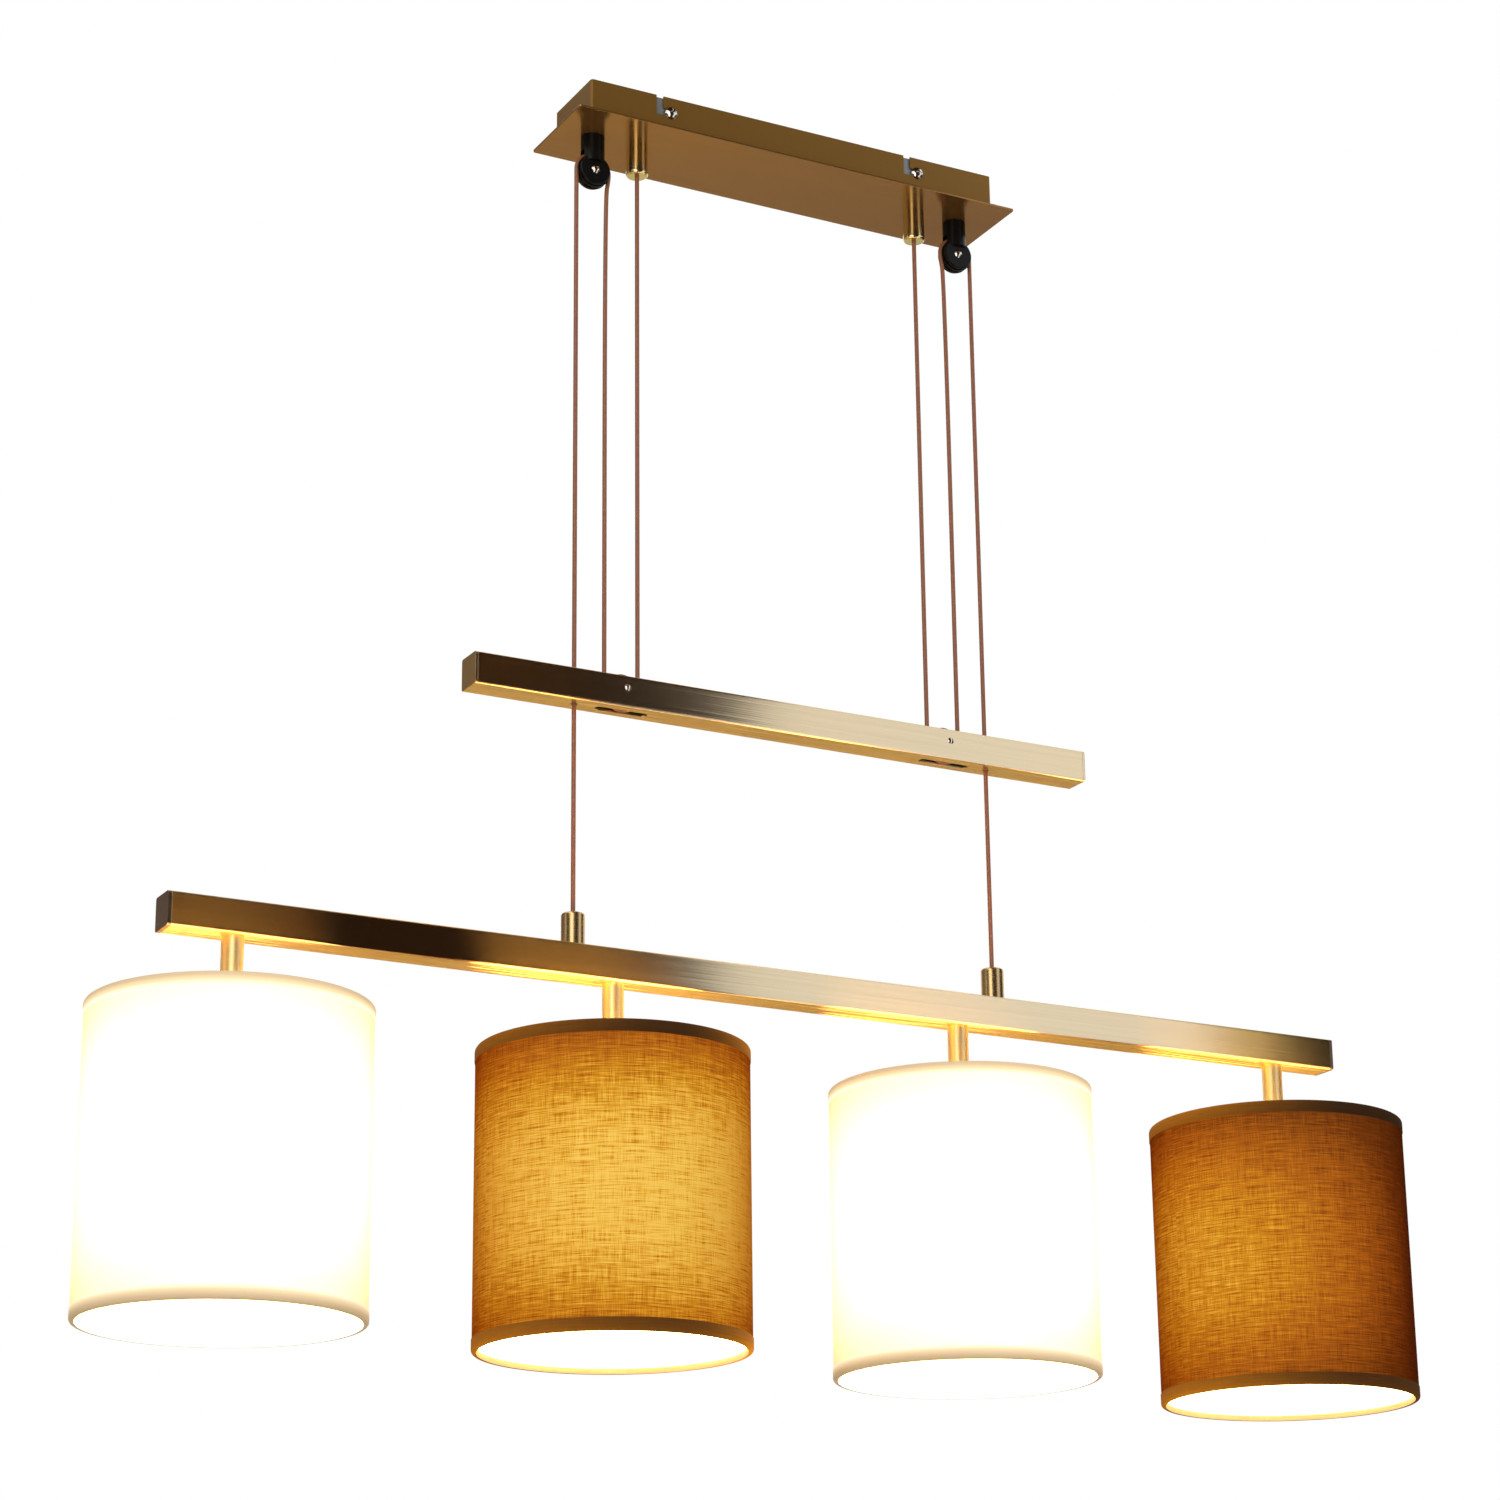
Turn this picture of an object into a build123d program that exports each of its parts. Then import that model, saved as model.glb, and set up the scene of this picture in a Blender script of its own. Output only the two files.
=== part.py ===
from build123d import *
import math
import os

# A rise-and-fall dining pendant: a ceiling canopy, two cables over pulleys, a counterweight bar and a lamp bar
# with four drum shades. All sizes are in millimetres. The ceiling plane is z = 0 and +Z points up, X runs along
# the bars and the front faces -Y. The lamp is modelled at the height at which it hangs in use.

# Canopy tray and the plate under it
CANOPY_HEIGHT = 26.0
PLATE_LENGTH = 317.0
PLATE_WIDTH = 69.5
PLATE_THICKNESS = 1.2
PLATE_CORNER = 1.5
TRAY_LENGTH = 293.0
TRAY_WIDTH = 52.0
TRAY_WALL = 1.0
TRAY_CORNER = 1.8

# Bayonet slots and side screws that hold the tray on the mounting bracket
SIDE_SCREW_X = 90.3
SIDE_SCREW_DEPTH = 10.6
SIDE_SCREW_DIAMETER = 4.0
SIDE_SCREW_LENGTH = 8.0
SIDE_HEAD_DIAMETER = 9.0
SIDE_HEAD_HEIGHT = 2.8
SLOT_WIDTH = 5.0
SLOT_SHIFT = 8.0

# Mounting bracket
STRIP_LENGTH = 210.0
STRIP_WIDTH = 30.0
STRIP_THICKNESS = 1.5
EAR_WIDTH = 28.0
EAR_HEIGHT = 18.0
EAR_BEND = 2.0
CEILING_SLOT_SPACING = 120.0
CEILING_SLOT_LENGTH = 14.0
CEILING_SLOT_WIDTH = 5.0
WIRE_HOLE_X = 36.0
WIRE_HOLE_DIAMETER = 14.0

# Mains terminal block and earth screw
BLOCK_LENGTH = 34.0
BLOCK_WIDTH = 18.0
BLOCK_HEIGHT = 13.0
BLOCK_CORNER = 1.5
TERMINAL_PITCH = 10.0
TERMINAL_COUNT = 3
TERMINAL_SCREW_DIAMETER = 4.0
TERMINAL_SCREW_LENGTH = 6.0
TERMINAL_RECESS = 1.0
DRIVER_SLOT = 0.8
EARTH_SCREW_X = -44.0
EARTH_SCREW_DIAMETER = 4.0
EARTH_HEAD_DIAMETER = 7.0
EARTH_HEAD_HEIGHT = 2.4

# Cables
CABLE_DIAMETER = 2.8
LEAD_DIAMETER = 2.0
LEAD_BEND = 6.0

# Grooved wheels, the same size at the canopy and in the counterweight
WHEEL_WIDTH = 4.4
WHEEL_PITCH_RADIUS = 11.2
WHEEL_FLANGE = 1.1
WHEEL_AXLE = 3.8
WHEEL_HUB_DIAMETER = 8.0
CANOPY_WHEEL_INSET = 13.5
CANOPY_WHEEL_DROP = 24.0
WHEEL_STEP = 20.0

# Black pulley brackets
POST_DIAMETER = 15.2
POST_OVERLAP = 4.5
HEAD_DIAMETER = 20.5
HEAD_LENGTH = 10.0
HEAD_ROUND = 1.0
FORK_GAP = 5.4
FORK_ROOM = 0.9
BRACKET_SCREW_DIAMETER = 5.0
BRACKET_SCREW_DEPTH = 8.0
BRACKET_HEAD_DIAMETER = 9.0
BRACKET_HEAD_HEIGHT = 3.0
AXLE_DOME_DIAMETER = 5.8
AXLE_DOME_HEIGHT = 1.6

# Cable glands
GLAND_DIAMETER = 14.2
CANOPY_GLAND_HEIGHT = 20.0
BAR_GLAND_HEIGHT = 20.0
GLAND_ROUND = 1.6
GLAND_SPIGOT_DIAMETER = 10.0
CANOPY_SPIGOT_LENGTH = 8.0
BAR_SPIGOT_LENGTH = 5.5
NUT_ACROSS_FLATS = 14.0
NUT_THICKNESS = 3.0

# Counterweight
COUNTERWEIGHT_DROP = 406.0
COUNTERWEIGHT_LENGTH = 426.0
COUNTERWEIGHT_HEIGHT = 20.0
COUNTERWEIGHT_DEPTH = 20.0
COUNTERWEIGHT_WALL = 1.2
COUNTERWEIGHT_EDGE = 1.5
COUNTERWEIGHT_CAP = 1.5
COUNTERWEIGHT_PLUG = 5.0
WHEEL_SLOT_LENGTH = 35.0
WHEEL_SLOT_WIDTH = 6.0
CABLE_HOLE_DIAMETER = 4.6
PIN_DOME_HEIGHT = 0.8
CABLE_SHOWING = 0.4
BALLAST_MARGIN = 4.0

# Lamp bar
BAR_DROP = 576.0
BAR_LENGTH = 792.0
BAR_HEIGHT = 20.0
BAR_DEPTH = 20.0
BAR_WALL = 0.8
BAR_EDGE = 1.5
BAR_CAP = 2.0
BAR_CAP_SEAM = 0.3
BAR_PLUG = 6.0

# Stems under the bar
SHADE_COUNT = 4
STEM_INSET = 42.0
STEM_DIAMETER = 12.8
NIPPLE_DIAMETER = 10.0
NIPPLE_BORE = 7.0
NIPPLE_END = 1.5

# Shades
SHADE_DROP = 40.0
SHADE_DIAMETER = 160.0
SHADE_HEIGHT = 176.0
SHADE_WALL = 0.8
HEM_HEIGHT = 7.0
HEM_PROUD = 0.4

# Wire frame inside each shade
WIRE_DIAMETER = 2.5
ARM_COUNT = 3
ARM_RISE_RADIUS = 58.0
ARM_BEND = 8.0
HUB_WIDTH = 4.2
HUB_THICKNESS = 1.6
RIM_INSET = 2.6

# Lampholders, measured down from their top
HOLDER_INSET = 4.0
HOLDER_TOP_DIAMETER = 17.0
HOLDER_SHOULDER_DIAMETER = 26.0
HOLDER_SHOULDER_DEPTH = 6.0
HOLDER_FLANGE_DIAMETER = 34.0
HOLDER_FLANGE_DEPTH = 12.0
HOLDER_FLANGE_THICKNESS = 2.0
HOLDER_SKIRT_DIAMETER = 28.0
HOLDER_LENGTH = 48.0
HOLDER_SOCKET_DIAMETER = 14.4
HOLDER_SOCKET_DEPTH = 22.0
HOLDER_NIPPLE_DEPTH = 9.0
HOLDER_WIRE_BORE = 6.0
CLAMP_RING_DIAMETER = 39.0
CLAMP_RING_HEIGHT = 8.0

# Globe lamps
BULB_DIAMETER = 45.0
BULB_NECK_DIAMETER = 22.0
BULB_NECK_LENGTH = 10.0
BULB_GLASS = 0.9
CAP_DIAMETER = 13.8
CAP_INSERTION = 20.0
CAP_SHOWING = 3.0
CAP_WALL = 0.8
CAP_TIP_DIAMETER = 6.0
CAP_TIP_HEIGHT = 3.0
NECK_SEAT = 5.0

# Clearances
FIT = 0.2
RUNNING = 0.05
GROOVE_ROOM = 0.15
SEAT = 0.15
WASHER_ROOM = 0.4

# Levels and places that follow from the sizes above
PLATE_UNDER = -CANOPY_HEIGHT
PLATE_TOP = PLATE_UNDER + PLATE_THICKNESS
TRAY_FLOOR = PLATE_TOP + TRAY_WALL
STRIP_UNDER = -STRIP_THICKNESS
BLOCK_UNDER = STRIP_UNDER - BLOCK_HEIGHT
LEAD_LEVEL = STRIP_UNDER - BLOCK_HEIGHT / 2
EAR_FACE = TRAY_WIDTH / 2 - TRAY_WALL - FIT
SIDE_SCREW_LEVEL = -SIDE_SCREW_DEPTH
CABLE_RADIUS = CABLE_DIAMETER / 2
WHEEL_DIAMETER = 2 * (WHEEL_PITCH_RADIUS - CABLE_RADIUS + WHEEL_FLANGE)
CANOPY_WHEEL_X = TRAY_LENGTH / 2 - CANOPY_WHEEL_INSET
CANOPY_WHEEL_LEVEL = PLATE_UNDER - CANOPY_WHEEL_DROP
COUNTERWEIGHT_WHEEL_X = CANOPY_WHEEL_X - WHEEL_STEP
CANOPY_GLAND_X = COUNTERWEIGHT_WHEEL_X - WHEEL_PITCH_RADIUS
BAR_GLAND_X = CANOPY_WHEEL_X + WHEEL_PITCH_RADIUS
SPIGOT_TOP = PLATE_UNDER + CANOPY_SPIGOT_LENGTH
COUNTERWEIGHT_LEVEL = COUNTERWEIGHT_HEIGHT / 2 - COUNTERWEIGHT_DROP
COUNTERWEIGHT_WHEEL_LEVEL = WHEEL_PITCH_RADIUS + CABLE_RADIUS - CABLE_SHOWING - COUNTERWEIGHT_DROP
BAR_UNDER = -BAR_DROP
BAR_TOP = BAR_UNDER + BAR_HEIGHT
BAR_MIDDLE = BAR_UNDER + BAR_HEIGHT / 2
SHADE_TOP = BAR_UNDER - SHADE_DROP
SHADE_BOTTOM = SHADE_TOP - SHADE_HEIGHT
SHADE_INNER_RADIUS = SHADE_DIAMETER / 2 - SHADE_WALL
RING_RADIUS = SHADE_INNER_RADIUS - SEAT - WIRE_DIAMETER / 2
HOLDER_TOP = SHADE_TOP - HOLDER_INSET
HOLDER_MOUTH = HOLDER_TOP - HOLDER_LENGTH
HUB_TOP = HOLDER_TOP - HOLDER_FLANGE_DEPTH - HOLDER_FLANGE_THICKNESS
HUB_UNDER = HUB_TOP - HUB_THICKNESS
HUB_INNER_RADIUS = HOLDER_SKIRT_DIAMETER / 2 + FIT
NUT_LEVEL = BAR_UNDER + BAR_WALL
NIPPLE_TOP = NUT_LEVEL + NUT_THICKNESS + NIPPLE_END
CABLE_END = BAR_MIDDLE + LEAD_DIAMETER / 2 + FIT
SHADE_SPACING = (BAR_LENGTH - 2 * STEM_INSET) / (SHADE_COUNT - 1)
STEM_X = [(i - (SHADE_COUNT - 1) / 2) * SHADE_SPACING for i in range(SHADE_COUNT)]


def block(length, depth, low, high):
    """Upright block about the Z axis, between two levels."""
    return Pos(0, 0, (low + high) / 2) * Box(length, depth, high - low)


def rod(diameter, low, high):
    """Upright rod on the Z axis, between two levels."""
    return Pos(0, 0, (low + high) / 2) * Cylinder(diameter / 2, high - low)


def cross_rod(diameter, front, back):
    """Rod along Y, between two depths."""
    return Pos(0, (front + back) / 2, 0) * Rot(X=-90) * Cylinder(diameter / 2, back - front)


def turned(points):
    """Solid turned about Z from its outline of (radius, level) corners."""
    outline = Polyline(*[(radius, 0, level) for radius, level in points], close=True)
    return revolve(make_face(outline), Axis.Z)


def slot_cutter(length, width, low, high):
    """Upright cutter for a round-ended slot along X."""
    return extrude(Pos(0, 0, low) * SlotOverall(length, width), high - low)


def dome(diameter, height):
    """Low rounded head standing on z = 0."""
    sphere = (diameter * diameter / 4 + height * height) / (2 * height)
    cap = Pos(0, 0, height - sphere) * Sphere(sphere)
    return cap & block(diameter, diameter, 0, height)


def nut(bore, low):
    """Hexagon nut on the Z axis, standing on a level."""
    shape = RegularPolygon(NUT_ACROSS_FLATS / 2, 6, major_radius=False) - Circle(bore / 2)
    return extrude(Pos(0, 0, low) * shape, NUT_THICKNESS)


def group(pieces):
    """Separate solids that share one node."""
    return Compound([solid for piece in pieces for solid in piece.solids()])


def left_of(piece):
    """The same piece on the other side of the middle."""
    return mirror(piece, about=Plane.YZ)


def both_sides(piece):
    """A right-hand piece and its left-hand twin, as a group."""
    return group([piece, left_of(piece)])


def swept(path, diameter):
    """Round tube along a path."""
    section = Plane(origin=path @ 0, z_dir=path % 0) * Circle(diameter / 2)
    return sweep(section, path=path)


def rect_tube(length, height, depth, wall, edge):
    """Tube along X with rounded long edges."""
    outer = RectangleRounded(depth, height, edge)
    inner = RectangleRounded(depth - 2 * wall, height - 2 * wall, max(edge - wall, wall / 2))
    return Pos(-length / 2, 0, 0) * extrude(Plane.YZ * (outer - inner), length)


def tube_cap(height, depth, wall, edge, thickness, plug):
    """End cap for such a tube: a plate on x = 0 pointing to +X, with a hollow plug behind it."""
    plate = extrude(Plane.YZ * RectangleRounded(depth, height, edge), thickness)
    plug_depth = depth - 2 * wall - 2 * FIT
    plug_height = height - 2 * wall - 2 * FIT
    rim = RectangleRounded(plug_depth, plug_height, edge)
    rim -= RectangleRounded(plug_depth - 2 * thickness, plug_height - 2 * thickness, edge / 2)
    return plate + extrude(Plane.YZ * rim, -plug)


def mounting_bracket():
    """Flat strip on the ceiling, with ears turned down beside the tray's long walls."""
    strip = block(STRIP_LENGTH, STRIP_WIDTH, STRIP_UNDER, 0)
    arm = block(EAR_WIDTH, 2 * EAR_FACE, STRIP_UNDER, 0)
    ear = block(EAR_WIDTH, STRIP_THICKNESS, -EAR_HEIGHT, 0)
    hole = cross_rod(SIDE_SCREW_DIAMETER + 2 * RUNNING, -EAR_FACE, EAR_FACE)
    bracket = strip
    for x in (-SIDE_SCREW_X, SIDE_SCREW_X):
        bracket += Pos(x, 0, 0) * arm
        for side in (-1, 1):
            bracket += Pos(x, side * (EAR_FACE - STRIP_THICKNESS / 2), 0) * ear
    bends = bracket.edges().filter_by(Axis.X).group_by(Axis.Z)[-1]
    bends = [edge for edge in bends if abs(edge.center().Y) > EAR_FACE - STRIP_THICKNESS / 2]
    bracket = fillet(bends, EAR_BEND)
    for x in (-SIDE_SCREW_X, SIDE_SCREW_X):
        bracket -= Pos(x, 0, SIDE_SCREW_LEVEL) * hole
    slot = slot_cutter(CEILING_SLOT_LENGTH, CEILING_SLOT_WIDTH, STRIP_UNDER, 0)
    for x in (-CEILING_SLOT_SPACING / 2, CEILING_SLOT_SPACING / 2):
        bracket -= Pos(x, 0, 0) * slot
    bracket -= Pos(WIRE_HOLE_X, 0, 0) * rod(WIRE_HOLE_DIAMETER, STRIP_UNDER, 0)
    bracket -= Pos(EARTH_SCREW_X, 0, 0) * rod(EARTH_SCREW_DIAMETER + 2 * RUNNING, STRIP_UNDER, 0)
    return bracket


def bayonet_cutter():
    """L-shaped slots through both long walls: down from the open edge, then across to the screw."""
    foot_low = SIDE_SCREW_LEVEL - SLOT_WIDTH / 2
    fall = block(SLOT_WIDTH, 2 * TRAY_WIDTH, foot_low, SLOT_WIDTH)
    foot = Pos(SLOT_SHIFT / 2, 0, 0) * block(SLOT_SHIFT, 2 * TRAY_WIDTH, foot_low, foot_low + SLOT_WIDTH)
    end = Pos(SLOT_SHIFT, 0, SIDE_SCREW_LEVEL) * cross_rod(SLOT_WIDTH, -TRAY_WIDTH, TRAY_WIDTH)
    return Pos(-SLOT_SHIFT, 0, 0) * (fall + foot + end)


def floor_holes(low, high):
    """Holes for the gland spigots and the pulley bracket screws."""
    spigot = Pos(CANOPY_GLAND_X, 0, 0) * rod(GLAND_SPIGOT_DIAMETER + 2 * FIT, low, high)
    screw = Pos(CANOPY_WHEEL_X, 0, 0) * rod(BRACKET_SCREW_DIAMETER + 2 * FIT, low, high)
    return group([spigot, screw, left_of(spigot), left_of(screw)])


def canopy_box():
    """Tray open towards the ceiling."""
    inner_corner = max(TRAY_CORNER - TRAY_WALL, TRAY_WALL / 2)
    outer = RectangleRounded(TRAY_LENGTH, TRAY_WIDTH, TRAY_CORNER)
    inner = RectangleRounded(TRAY_LENGTH - 2 * TRAY_WALL, TRAY_WIDTH - 2 * TRAY_WALL, inner_corner)
    tray = extrude(Pos(0, 0, PLATE_TOP) * outer, -PLATE_TOP)
    tray -= extrude(Pos(0, 0, TRAY_FLOOR) * inner, -TRAY_FLOOR)
    for x in (-SIDE_SCREW_X, SIDE_SCREW_X):
        tray -= Pos(x, 0, 0) * bayonet_cutter()
    return tray - floor_holes(PLATE_TOP, TRAY_FLOOR)


def canopy_plate():
    """Polished plate that stands out round the tray."""
    plate = extrude(Pos(0, 0, PLATE_UNDER) * RectangleRounded(PLATE_LENGTH, PLATE_WIDTH, PLATE_CORNER), PLATE_THICKNESS)
    return plate - floor_holes(PLATE_UNDER, PLATE_TOP)


def canopy_side_screws():
    """Four screws with rounded cross-slotted heads, through the bayonet slots into the ears."""
    screw = rod(SIDE_SCREW_DIAMETER, -SIDE_SCREW_LENGTH, 0) + dome(SIDE_HEAD_DIAMETER, SIDE_HEAD_HEIGHT)
    recess = block(SIDE_HEAD_DIAMETER / 2, DRIVER_SLOT, SIDE_HEAD_HEIGHT / 2, SIDE_HEAD_HEIGHT)
    screw -= recess + Rot(Z=90) * recess
    front = Pos(SIDE_SCREW_X, -TRAY_WIDTH / 2, SIDE_SCREW_LEVEL) * Rot(X=90) * screw
    back = Pos(SIDE_SCREW_X, TRAY_WIDTH / 2, SIDE_SCREW_LEVEL) * Rot(X=-90) * screw
    return group([front, back, left_of(front), left_of(back)])


def terminal_places():
    """X places of the terminals along the block."""
    return [(i - (TERMINAL_COUNT - 1) / 2) * TERMINAL_PITCH for i in range(TERMINAL_COUNT)]


def terminal_block():
    """Connector strip under the bracket, with a screw hole for each terminal."""
    body = extrude(Pos(0, 0, BLOCK_UNDER) * RectangleRounded(BLOCK_LENGTH, BLOCK_WIDTH, BLOCK_CORNER), BLOCK_HEIGHT)
    for x in terminal_places():
        depth = TERMINAL_SCREW_LENGTH + TERMINAL_RECESS
        body -= Pos(x, 0, 0) * rod(TERMINAL_SCREW_DIAMETER + 2 * RUNNING, BLOCK_UNDER, BLOCK_UNDER + depth)
    return body


def terminal_screws():
    """Slotted clamp screws, sunk in the block."""
    low = BLOCK_UNDER + TERMINAL_RECESS
    screw = rod(TERMINAL_SCREW_DIAMETER, low, low + TERMINAL_SCREW_LENGTH)
    screw -= block(TERMINAL_SCREW_DIAMETER, DRIVER_SLOT, low, low + DRIVER_SLOT)
    return group([Pos(x, 0, 0) * screw for x in terminal_places()])


def earth_screw():
    """Earth terminal on the underside of the bracket."""
    head = Pos(0, 0, STRIP_UNDER) * Rot(X=180) * dome(EARTH_HEAD_DIAMETER, EARTH_HEAD_HEIGHT)
    head -= block(EARTH_HEAD_DIAMETER, DRIVER_SLOT, STRIP_UNDER - EARTH_HEAD_HEIGHT, STRIP_UNDER - DRIVER_SLOT)
    return Pos(EARTH_SCREW_X, 0, 0) * (head + rod(EARTH_SCREW_DIAMETER, STRIP_UNDER, -FIT))


def gland(height, spigot):
    """Brass cylinder hanging from z = 0, with a threaded spigot above and a bore for the cable."""
    body = rod(GLAND_DIAMETER, -height, 0)
    body = fillet(body.edges().group_by(Axis.Z)[0], GLAND_ROUND)
    body += rod(GLAND_SPIGOT_DIAMETER, 0, spigot)
    return body - rod(CABLE_DIAMETER + 2 * FIT, -height, spigot)


def canopy_gland():
    return Pos(CANOPY_GLAND_X, 0, PLATE_UNDER) * gland(CANOPY_GLAND_HEIGHT, CANOPY_SPIGOT_LENGTH)


def canopy_gland_nuts():
    return both_sides(Pos(CANOPY_GLAND_X, 0, 0) * nut(GLAND_SPIGOT_DIAMETER + 2 * RUNNING, TRAY_FLOOR))


def pulley_bracket():
    """Post with a round forked head that holds the wheel, and a screw hole in its top."""
    fork_top = CANOPY_WHEEL_LEVEL + WHEEL_PITCH_RADIUS + CABLE_RADIUS + FORK_ROOM
    post_end = CANOPY_WHEEL_LEVEL + HEAD_DIAMETER / 2 - POST_OVERLAP
    head = cross_rod(HEAD_DIAMETER, -HEAD_LENGTH / 2, HEAD_LENGTH / 2)
    head = fillet(head.edges().filter_by(GeomType.CIRCLE), HEAD_ROUND)
    body = rod(POST_DIAMETER, post_end, PLATE_UNDER) + Pos(0, 0, CANOPY_WHEEL_LEVEL) * head
    body -= block(2 * HEAD_DIAMETER, FORK_GAP, CANOPY_WHEEL_LEVEL - HEAD_DIAMETER, fork_top)
    body -= Pos(0, 0, CANOPY_WHEEL_LEVEL) * cross_rod(WHEEL_AXLE + 2 * RUNNING, -POST_DIAMETER, POST_DIAMETER)
    body -= rod(BRACKET_SCREW_DIAMETER + 2 * RUNNING, PLATE_UNDER - BRACKET_SCREW_DEPTH, PLATE_UNDER)
    return Pos(CANOPY_WHEEL_X, 0, 0) * body


def pulley_bracket_screws():
    """Screws from inside the tray into the posts."""
    screw = rod(BRACKET_SCREW_DIAMETER, PLATE_UNDER - BRACKET_SCREW_DEPTH + FIT, TRAY_FLOOR)
    screw += Pos(0, 0, TRAY_FLOOR) * dome(BRACKET_HEAD_DIAMETER, BRACKET_HEAD_HEIGHT)
    return both_sides(Pos(CANOPY_WHEEL_X, 0, 0) * screw)


def pulley_axle_screws():
    """Axles through the forked heads, with a domed end on the front and on the back."""
    axle = cross_rod(WHEEL_AXLE, -HEAD_LENGTH / 2, HEAD_LENGTH / 2)
    end = dome(AXLE_DOME_DIAMETER, AXLE_DOME_HEIGHT)
    axle += Pos(0, -HEAD_LENGTH / 2, 0) * Rot(X=90) * end
    axle += Pos(0, HEAD_LENGTH / 2, 0) * Rot(X=-90) * end
    return both_sides(Pos(CANOPY_WHEEL_X, 0, CANOPY_WHEEL_LEVEL) * axle)


def grooved_wheel(hub_length):
    """Wheel on the Y axis with a round cable groove, and hubs that keep it in the middle."""
    half = WHEEL_WIDTH / 2
    wheel = cross_rod(WHEEL_DIAMETER, -half, half) + cross_rod(WHEEL_HUB_DIAMETER, -hub_length / 2, hub_length / 2)
    groove = CABLE_RADIUS + GROOVE_ROOM
    mouth = cross_rod(2 * WHEEL_DIAMETER, -groove, groove) - cross_rod(2 * WHEEL_PITCH_RADIUS, -groove, groove)
    wheel -= Rot(X=90) * Torus(WHEEL_PITCH_RADIUS, groove) + mouth
    return wheel - cross_rod(WHEEL_AXLE + 2 * RUNNING, -hub_length, hub_length)


def canopy_pulley():
    return Pos(CANOPY_WHEEL_X, 0, CANOPY_WHEEL_LEVEL) * grooved_wheel(FORK_GAP - 2 * FIT)


def counterweight_pulley():
    hub = COUNTERWEIGHT_DEPTH - 2 * COUNTERWEIGHT_WALL - 2 * WASHER_ROOM
    return Pos(COUNTERWEIGHT_WHEEL_X, 0, COUNTERWEIGHT_WHEEL_LEVEL) * grooved_wheel(hub)


def on_wheel(x, level, degrees):
    """Point of the cable's centre line on a wheel, by its angle from +X towards +Z."""
    turn = math.radians(degrees)
    return (x + WHEEL_PITCH_RADIUS * math.cos(turn), 0, level + WHEEL_PITCH_RADIUS * math.sin(turn))


def arc_on_wheel(x, level, start, end):
    """Stretch of the cable that lies in a wheel's groove."""
    middle = on_wheel(x, level, (start + end) / 2)
    return ThreePointArc(on_wheel(x, level, start), middle, on_wheel(x, level, end))


def middle_strand_slant():
    """Degrees by which the strand between the two wheels leans, as a line that crosses between equal circles."""
    across = CANOPY_WHEEL_X - COUNTERWEIGHT_WHEEL_X
    up = CANOPY_WHEEL_LEVEL - COUNTERWEIGHT_WHEEL_LEVEL
    return math.degrees(math.asin(2 * WHEEL_PITCH_RADIUS / math.hypot(across, up)) - math.atan2(across, up))


def cable_loop():
    """From the canopy gland down, round the counterweight's wheel, and up over the canopy wheel to its top."""
    slant = middle_strand_slant()
    start = (CANOPY_GLAND_X, 0, SPIGOT_TOP)
    fall = Line(start, on_wheel(COUNTERWEIGHT_WHEEL_X, COUNTERWEIGHT_WHEEL_LEVEL, 180))
    under = arc_on_wheel(COUNTERWEIGHT_WHEEL_X, COUNTERWEIGHT_WHEEL_LEVEL, 180, 360 + slant)
    over = arc_on_wheel(CANOPY_WHEEL_X, CANOPY_WHEEL_LEVEL, 180 + slant, 90)
    rise = Line(under @ 1, over @ 0)
    return swept(Wire([fall, under, rise, over]), CABLE_DIAMETER)


def cable_drop():
    """From the top of the canopy wheel down through the counterweight into the lamp bar."""
    over = arc_on_wheel(CANOPY_WHEEL_X, CANOPY_WHEEL_LEVEL, 90, 0)
    fall = Line(over @ 1, (BAR_GLAND_X, 0, CABLE_END))
    return swept(Wire([over, fall]), CABLE_DIAMETER)


def canopy_leads():
    """Tails of the cables from the glands to the terminal block."""
    route = FilletPolyline(
        (CANOPY_GLAND_X, 0, SPIGOT_TOP + FIT),
        (CANOPY_GLAND_X, 0, LEAD_LEVEL),
        (BLOCK_LENGTH / 2, 0, LEAD_LEVEL),
        radius=LEAD_BEND,
    )
    return both_sides(swept(route, LEAD_DIAMETER))


def counterweight_tube():
    """Tube with slots above and below each wheel, holes for the outer strands and holes for the pins."""
    length = COUNTERWEIGHT_LENGTH - 2 * COUNTERWEIGHT_CAP
    tube = rect_tube(length, COUNTERWEIGHT_HEIGHT, COUNTERWEIGHT_DEPTH, COUNTERWEIGHT_WALL, COUNTERWEIGHT_EDGE)
    slot = slot_cutter(WHEEL_SLOT_LENGTH, WHEEL_SLOT_WIDTH, -COUNTERWEIGHT_HEIGHT, COUNTERWEIGHT_HEIGHT)
    hole = rod(CABLE_HOLE_DIAMETER, -COUNTERWEIGHT_HEIGHT, COUNTERWEIGHT_HEIGHT)
    pin = cross_rod(WHEEL_AXLE + 2 * RUNNING, -COUNTERWEIGHT_DEPTH, COUNTERWEIGHT_DEPTH)
    pin_level = COUNTERWEIGHT_WHEEL_LEVEL - COUNTERWEIGHT_LEVEL
    for side in (-1, 1):
        tube -= Pos(side * COUNTERWEIGHT_WHEEL_X, 0, 0) * (slot + Pos(0, 0, pin_level) * pin)
        tube -= Pos(side * BAR_GLAND_X, 0, 0) * hole
    return Pos(0, 0, COUNTERWEIGHT_LEVEL) * tube


def counterweight_cap():
    cap = tube_cap(
        COUNTERWEIGHT_HEIGHT,
        COUNTERWEIGHT_DEPTH,
        COUNTERWEIGHT_WALL,
        COUNTERWEIGHT_EDGE,
        COUNTERWEIGHT_CAP,
        COUNTERWEIGHT_PLUG,
    )
    return Pos(COUNTERWEIGHT_LENGTH / 2 - COUNTERWEIGHT_CAP, 0, COUNTERWEIGHT_LEVEL) * cap


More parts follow.
